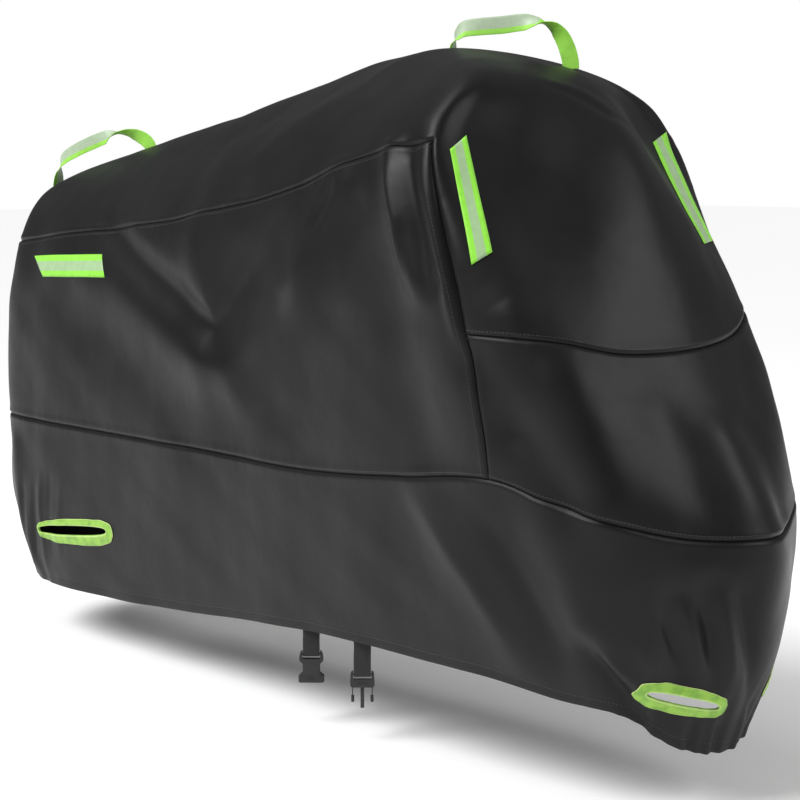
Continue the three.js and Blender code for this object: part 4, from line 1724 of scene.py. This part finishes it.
@dataclass
class Buckle:
    """A half of the buckle, in millimetres from the middle of its bar, seen from the front."""

    half: Half
    strap: BellyStrap
    outline: tuple
    deep: float
    bar_half: float = 1.7
    bar_deep: float = 3.2
    bar_room: float = 6
    slot_half: float = 16.0
    slot_top: float = 9.7
    slot_bottom: float = -8.1
    round_edge: float = 0.7

    def slab(self, half_outline: tuple, deep: float) -> bmesh.types.BMesh:
        """A plate of an outline that is the same left and right, with rounded edges.

        Args:
            half_outline: The right half, from top to bottom.
            deep: How thick the plate is.

        Returns:
            Its bmesh.
        """
        bm = bmesh.new()
        ring = [*half_outline, *((-x, z) for x, z in reversed(half_outline))]
        face = bm.faces.new([bm.verts.new((x, deep / 2, z)) for x, z in ring])
        grown = bmesh.ops.extrude_face_region(bm, geom=[face])
        moved = [item for item in grown["geom"] if isinstance(item, bmesh.types.BMVert)]
        bmesh.ops.translate(bm, verts=moved, vec=(0, -deep, 0))
        bmesh.ops.recalc_face_normals(bm, faces=bm.faces)
        sharp = [edge for edge in bm.edges if edge.calc_face_angle(0) > 0.5]
        bmesh.ops.bevel(bm, geom=sharp, offset=self.round_edge, segments=3, profile=0.5,
                        affect="EDGES", material=-1, clamp_overlap=True)
        return bm

    def block(self, wide: float, deep: float, low: float, high: float, x: float = 0, y: float = 0,
              edge: float = 0.5) -> bmesh.types.BMesh:
        """A rounded block between two heights.

        Args:
            wide: Its width.
            deep: Its depth.
            low: Its lower end.
            high: Its upper end.
            x: How far it is to the right.
            y: How far it is behind.
            edge: How far its edges are rounded.

        Returns:
            Its bmesh.
        """
        bm = bmesh.new()
        bmesh.ops.create_cube(bm, size=1)
        bmesh.ops.scale(bm, verts=bm.verts, vec=(wide, deep, high - low))
        bmesh.ops.translate(bm, verts=bm.verts, vec=(x, y, (low + high) / 2))
        bmesh.ops.bevel(bm, geom=bm.edges[:], offset=edge, segments=3, profile=0.5,
                        affect="EDGES", material=-1, clamp_overlap=True)
        return bm

    def solid(self, bm: bmesh.types.BMesh) -> bpy.types.Object:
        """Makes a scratch object for a boolean cut.

        Args:
            bm: Its mesh, which is freed.

        Returns:
            The object.
        """
        mesh = bpy.data.meshes.new("scratch")
        bm.to_mesh(mesh)
        bm.free()
        made = bpy.data.objects.new("scratch", mesh)
        bpy.context.scene.collection.objects.link(made)
        return made

    def combine(self, body: bpy.types.Object, tool: bmesh.types.BMesh, join: Join) -> None:
        """Joins a shape to the body, or cuts it away.

        Args:
            body: The body, whose mesh is replaced.
            tool: The shape, which is freed.
            join: What is done with it.
        """
        other = self.solid(tool)
        boolean = body.modifiers.new("join", "BOOLEAN")
        boolean.operation = join.value
        boolean.object = other
        boolean.solver = "EXACT"
        evaluated = body.evaluated_get(bpy.context.evaluated_depsgraph_get())
        mesh = bpy.data.meshes.new_from_object(evaluated)
        body.modifiers.clear()
        body.data = mesh
        bpy.data.objects.remove(other)

    def cuts(self) -> list:
        """The blocks that both halves have cut away round the bar.

        Returns:
            The blocks, as bmeshes.
        """
        gap = self.bar_half
        wide = 2 * self.slot_half
        thin = (self.deep + self.bar_deep) / 2
        sides = [self.block(wide - 0.2, self.deep, -self.bar_room, self.bar_room, y=side, edge=0.4)
                 for side in (thin, -thin)]
        return [self.block(wide, 2 * self.deep, gap, self.slot_top, edge=0.8),
                self.block(wide, 2 * self.deep, self.slot_bottom, -gap, edge=0.8), *sides]

    def build(self, material: bpy.types.Material) -> bpy.types.Object:
        """Makes the half and sets it on its strap's end.

        Args:
            material: The plastic's material.

        Returns:
            The half.
        """
        body = self.solid(self.slab(self.outline, self.deep))
        for tool in self.cuts():
            self.combine(body, tool, Join.CUT)
        for tool, join in self.details():
            self.combine(body, tool, join)
        bm = bmesh.new()
        bm.from_mesh(body.data)
        bpy.data.objects.remove(body)
        bmesh.ops.remove_doubles(bm, verts=bm.verts, dist=1e-3)
        bmesh.ops.scale(bm, verts=bm.verts, vec=(MM, MM, MM))
        place = Matrix.Translation(Vector(in_frame(self.strap.bar())))
        turn = Matrix.Rotation(self.strap.turn, 4, "Z")
        bmesh.ops.transform(bm, verts=bm.verts, matrix=place @ turn)
        piece = new_piece(self.half.value.replace("buckle", "release_buckle"), bm, material)
        piece.data.set_sharp_from_angle(angle=math.radians(50))
        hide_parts(self.half.value)
        return piece

    def details(self) -> list:
        """The rest of the half, as shapes with what is done with them."""
        return []


@dataclass
class Socket(Buckle):
    """The half with the mouth and the two side windows."""

    def details(self) -> list:
        """The mouth, its windows and the grip ribs.

        Returns:
            The shapes, each with what is done with it.
        """
        ribs = [(self.block(16, 0.9, z - 0.55, z + 0.55, y=-self.deep / 2, edge=0.3), Join.ADD)
                for z in (-41, -43.4, -45.8)]
        return [(self.block(25, 7, -53, -23), Join.CUT), (self.block(34, 7, -54, -38), Join.CUT),
                (self.block(44, 6, -34, -20), Join.CUT), *ribs]


@dataclass
class Plug(Buckle):
    """The half with the middle tongue and the two sprung arms."""

    def details(self) -> list:
        """The tongue, the arms with their catches, and the grip ribs.

        Returns:
            The shapes, each with what is done with it.
        """
        arms = [(self.block(1.8, 4, -38, -22, x=side * 17.2), Join.ADD) for side in (-1, 1)]
        catches = [(self.block(5.4, 5, -49, -37, x=side * 16.8, edge=0.9), Join.ADD) for side in (-1, 1)]
        ribs = [(self.block(20, 0.9, z - 0.55, z + 0.55, y=-self.deep / 2, edge=0.3), Join.ADD)
                for z in (-12.5, -15, -17.5)]
        return [(self.block(6.4, 5, -59.5, -22.5, edge=0.8), Join.ADD), *arms, *catches, *ribs]


SOCKET_OUTLINE = ((17.5, 6), (20, 2), (21.5, -4), (21.5, -12), (18, -15), (15.5, -18), (15.5, -33),
                  (19, -36), (23, -39), (23, -50), (21, -52))
PLUG_OUTLINE = ((18.5, 6), (20.5, 2), (21.5, -14), (21, -20), (18.5, -23))


# Sewing.


@dataclass(frozen=True)
class Stitching:
    """A row of lockstitches along a line on the cloth."""

    name: str
    pitch: float = 6.5
    long: float = 4.6
    radius: float = 0.45
    flatness: float = 0.8
    raised: float = 0.5
    batch: int = 24

    def build(self, lines: list, material: bpy.types.Material) -> bpy.types.Object:
        """Makes the stitches of several lines as one piece.

        Args:
            lines: For each line, its places and the way out of the cloth at each, in millimetres.
            material: The thread's material.

        Returns:
            The stitches.
        """
        whole = bmesh.new()
        for places, normals in lines:
            run = Panel.lengths(places)
            middles = np.arange(self.pitch / 2, run[-1], self.pitch)
            for start in range(0, len(middles), self.batch):
                part = bmesh.new()
                for middle in middles[start:start + self.batch]:
                    self.stitch(part, places, normals, run, middle)
                mesh = bpy.data.meshes.new("stitches")
                part.to_mesh(mesh)
                part.free()
                whole.from_mesh(mesh)
                bpy.data.meshes.remove(mesh)
        piece = new_piece(self.name, whole, material)
        return piece

    def stitch(self, bm: bmesh.types.BMesh, places: np.ndarray, normals: np.ndarray, run: np.ndarray,
               middle: float) -> None:
        """Adds one stitch.

        Args:
            bm: The bmesh that it is added to.
            places: The line's places, in millimetres.
            normals: The way out of the cloth at each.
            run: How far along the line each is.
            middle: How far along the stitch is.
        """
        spot = np.array([np.interp(middle, run, places[:, axis]) for axis in range(3)])
        ahead = np.array([np.interp(middle + 1, run, places[:, axis]) for axis in range(3)])
        way = Vector(ahead - spot).normalized()
        out = Vector(normals[min(np.searchsorted(run, middle), len(run) - 1)])
        side = way.cross(out).normalized()
        turn = Matrix((side, way.cross(side), way)).transposed().to_4x4()
        size = Matrix.Diagonal((self.radius * MM, self.radius * MM * self.flatness, self.long * MM / 2, 1))
        place = Matrix.Translation(Vector(in_frame(spot)) + out * self.radius * MM * self.raised)
        bmesh.ops.create_uvsphere(bm, u_segments=5, v_segments=4, radius=1, matrix=place @ turn @ size)


def border_line(seam: SeamLine, offset: float) -> tuple[np.ndarray, np.ndarray]:
    """A line beside a seam on the finished cloth.

    Args:
        seam: The seam.
        offset: How far to its left the line runs, in millimetres.

    Returns:
        The line's places and the way out of the cloth at each.
    """
    around, up = seam.places(4.0)
    points = FORM.smooth(around, up)
    run = np.gradient(points, axis=0)
    run /= np.linalg.norm(run, axis=1, keepdims=True)
    normals = FORM.outward(around, up)
    wanted = np.cross(normals, run)
    step = 0.01
    by_round = (FORM.smooth(around + step, up) - points) / step
    by_up = (FORM.smooth(around, up + step) - points) / step
    # The share of each direction in the wanted one, by least squares.
    round_round = np.sum(by_round ** 2, 1)
    round_up = np.sum(by_round * by_up, 1)
    up_up = np.sum(by_up ** 2, 1)
    wanted_round = np.sum(wanted * by_round, 1)
    wanted_up = np.sum(wanted * by_up, 1)
    scale = round_round * up_up - round_up * round_up
    more_round = offset * (wanted_round * up_up - wanted_up * round_up) / scale
    more_up = offset * (wanted_up * round_round - wanted_round * round_up) / scale
    return dressed(around + more_round, up + more_up)


@dataclass(frozen=True)
class SeamTape:
    """The tape that is sealed over a seam inside the cover, so that no rain or light comes through."""

    offsets: tuple = (-9, -6, -3.5, -1.5, 0, 1.5, 3.5, 6, 9)
    deep: float = 1.2
    thick: float = 0.0003

    def build(self, seam: SeamLine, material: bpy.types.Material) -> bpy.types.Object:
        """Makes the tape over one seam.

        Args:
            seam: The seam.
            material: The cloth's material.

        Returns:
            The tape.
        """
        lines = [border_line(seam, offset) for offset in self.offsets]
        run = Panel.lengths(lines[0][0])
        bm, verts = grid(len(run), len(self.offsets))
        places = np.concatenate([line - normals * self.deep for line, normals in lines])
        texture = np.stack([np.tile(run, len(lines)), np.repeat(self.offsets, len(run))], axis=1) * MM
        lay(bm, verts, in_frame(places), texture)
        piece = new_piece(f"seam_tape_{seam.name}", bm, material)
        thicken(piece, self.thick, 0.0)
        return piece


# The studio.


@dataclass(frozen=True)
class Lamp:
    """A soft square light: its place, what it faces, its side in metres and its power in watts."""

    name: str
    place: tuple
    target: tuple
    size: float
    power: float

    def build(self) -> None:
        """Adds the light."""
        data = bpy.data.lights.new(self.name, "AREA")
        data.shape = "SQUARE"
        data.size = self.size
        data.energy = self.power
        made = bpy.data.objects.new(self.name, data)
        made.location = self.place
        made.rotation_mode = "QUATERNION"
        made.rotation_quaternion = (Vector(self.target) - Vector(self.place)).to_track_quat("-Z", "Y")
        bpy.context.scene.collection.objects.link(made)


LAMPS = (
    Lamp("key", (-1.6, -3.4, 1.9), (-0.4, -0.2, -0.4), 1.6, 30),
    Lamp("side", (2.6, 1.3, 1.0), (0.2, 0, -0.5), 1.6, 42),
    Lamp("top", (-0.6, -0.6, 3.0), (-0.4, 0, -0.3), 2.0, 45),
)


@dataclass(frozen=True)
class Studio:
    """The camera at the photograph's angle, soft lights and a pale floor."""

    place: tuple = (2.4157, -2.3958, -0.1821)
    turn: float = math.radians(47)
    dip: float = math.radians(7.133)
    lens: float = 87.75
    sensor: float = 36
    floor: float = -1.1978
    floor_half: float = 30
    world: float = 0.14
    sun: float = 3.3
    sun_angle: float = math.radians(35)
    sun_way: tuple = (0.35, 1.0, -1.15)

    def camera(self) -> None:
        """Makes the camera."""
        data = bpy.data.cameras.new("camera")
        data.lens = self.lens
        data.sensor_width = self.sensor
        made = bpy.data.objects.new("camera", data)
        level = math.cos(self.dip)
        forward = Vector((-math.sin(self.turn) * level, math.cos(self.turn) * level, -math.sin(self.dip)))
        made.location = self.place
        made.rotation_mode = "QUATERNION"
        made.rotation_quaternion = forward.to_track_quat("-Z", "Y")
        bpy.context.scene.collection.objects.link(made)
        bpy.context.scene.camera = made

    def sunlight(self) -> None:
        """Adds a very soft sun from above the camera's left shoulder."""
        data = bpy.data.lights.new("sun", "SUN")
        data.energy = self.sun
        data.angle = self.sun_angle
        made = bpy.data.objects.new("sun", data)
        made.rotation_mode = "QUATERNION"
        made.rotation_quaternion = Vector(self.sun_way).to_track_quat("-Z", "Y")
        bpy.context.scene.collection.objects.link(made)

    def build(self) -> None:
        """Makes the whole studio."""
        self.camera()
        scene = bpy.context.scene
        scene.view_settings.view_transform = "Standard"
        scene.world = bpy.data.worlds.new("studio")
        scene.world.use_nodes = True
        tree = scene.world.node_tree
        sky = tree.nodes["Background"]
        sky.inputs["Color"].default_value = (1, 1, 1, 1)
        seen = tree.nodes.new("ShaderNodeLightPath")
        strength = tree.nodes.new("ShaderNodeMapRange")
        strength.inputs["To Min"].default_value = self.world
        strength.inputs["To Max"].default_value = 1.0
        tree.links.new(seen.outputs["Is Camera Ray"], strength.inputs["Value"])
        tree.links.new(strength.outputs["Result"], sky.inputs["Strength"])
        bm = bmesh.new()
        bmesh.ops.create_grid(bm, x_segments=1, y_segments=1, size=self.floor_half)
        bmesh.ops.translate(bm, verts=bm.verts, vec=(0, 0, self.floor))
        mesh = bpy.data.meshes.new("floor")
        bm.to_mesh(mesh)
        bm.free()
        mesh.materials.append(Backdrop().material())
        floor = bpy.data.objects.new("floor", mesh)
        scene.collection.objects.link(floor)
        self.sunlight()
        for lamp in LAMPS:
            lamp.build()


# The whole cover.


@dataclass
class Cover:
    """The whole cover, made in a maker's order."""

    hood: Panel = field(default_factory=lambda: Panel("hood", (
        Patch((0, NEAR_EDGE), (SHOULDER_EDGE, RIDGE), 4.6, 5, fine=Border.RIGHT | Border.LOW),
        Patch((NEAR_EDGE, FAR_EDGE), (SHOULDER_EDGE, RIDGE), 4.6, 5, fine=Border.ALL & ~Border.HIGH),
        Patch((FAR_EDGE, ROUND), (SHOULDER_EDGE, RIDGE), 4.6, 5, fine=Border.LEFT | Border.LOW),
        Patch((NEAR_EDGE, FAR_EDGE), (WAIST + SEAM_UP, SHOULDER_EDGE), 4.6, 9,
              fine=Border.ALL & ~Border.HIGH),
    ), flat=(2.15, 1.1), area=1.3))
    panels: tuple = (
        Panel("side_panel_right", (Patch((0, CORNER), (LOW, SHOULDER), 3.0, 5, Border.ALL),),
              flat=(1.75, 0.62), area=0.79, cell=5.5),
        Panel("side_panel_left", (Patch((ROUND - CORNER, ROUND), (LOW, SHOULDER), 3.0, 19, Border.ALL),),
              flat=(1.75, 0.62), area=0.79),
        Panel("front_panel", (Patch((CORNER, ROUND - CORNER), (LOW, WAIST), 2.5, 9, Border.ALL),),
              flat=(1.0, 0.33), area=0.26),
    )
    skirt: Skirt = field(default_factory=lambda: Skirt(
        "skirt", (Patch((0, ROUND), (0, LOW), 1.0, 5, Border.ALL),),
        flat=(4.5, 0.42), area=1.6, holes=LOCK_HOLES))
    topstitch: float = 7.0
    hem_samples: int = 1400

    def build(self) -> None:
        """Makes every piece of the cover."""
        cloth = CoatedCloth().material()
        shells = {piece.name.replace("cloth_", ""): piece for piece in
                  [self.hood.build(cloth), *(panel.build(cloth) for panel in self.panels)]}
        self.skirt.build(cloth)
        self.sew_strips(shells)
        binding = BindingTape().material()
        for hole in LOCK_HOLES:
            Binding(hole).build(self.skirt.surface, binding)
        loop_tape = StripTape("loop_tape", tone(138, 204, 62), tone(158, 178, 148),
                              band_from=0.0095, band_to=0.031, band_end=0.0).material()
        for loop in GRAB_LOOPS:
            loop.build(loop_tape)
        self.hang_straps()
        self.sew_seams(cloth)

    def sew_strips(self, shells: dict) -> None:
        """Makes the reflective strips.

        Args:
            shells: The panels by name.
        """
        tape = StripTape("reflective_tape", tone(132, 212, 50), tone(150, 182, 134),
                         band_from=0.012, band_to=0.031).material()
        for strip in STRIPS:
            bm = bmesh.new()
            bm.from_mesh(shells[strip.panel].data)
            strip.build(BVHTree.FromBMesh(bm), tape)
            bm.free()

    def hang_straps(self) -> None:
        """Makes the belly strap's two ends and the buckle."""
        webbing = Webbing("strap_webbing", tone(34, 34, 35)).material()
        plastic = Plastic().material()
        socket_strap = BellyStrap("strap_socket", around=5.6, hang=47)
        plug_strap = BellyStrap("strap_plug", around=6.32, hang=61)
        for strap in (socket_strap, plug_strap):
            strap.build(webbing)
        Socket(Half.SOCKET, socket_strap, SOCKET_OUTLINE, deep=11).build(plastic)
        Plug(Half.PLUG, plug_strap, PLUG_OUTLINE, deep=7).build(plastic)

    def sew_seams(self, cloth: bpy.types.Material) -> None:
        """Makes the topstitching beside the seams and round the hem, and the tapes inside the seams.

        Args:
            cloth: The cloth's material.
        """
        thread = Thread("thread", tone(34, 34, 35)).material()
        lines = [border_line(seam, self.topstitch) for seam in SEAMS]
        around = np.linspace(SEAM_ROUND, ROUND - SEAM_ROUND, self.hem_samples)
        hem = np.full_like(around, self.skirt.hem_stitch / self.skirt.up_length())
        places, normals = dressed(around, hem)
        lines.append((places + normals * self.skirt.relief(around, hem)[:, None], normals))
        Stitching("topstitching").build(lines, thread)
        for seam in SEAMS:
            SeamTape().build(seam, cloth)


def main() -> None:
    """Builds the studio and the cover."""
    logging.basicConfig(level=logging.INFO, format="%(name)s: %(message)s")
    Studio().build()
    Cover().build()


if __name__ == "__main__":
    main()
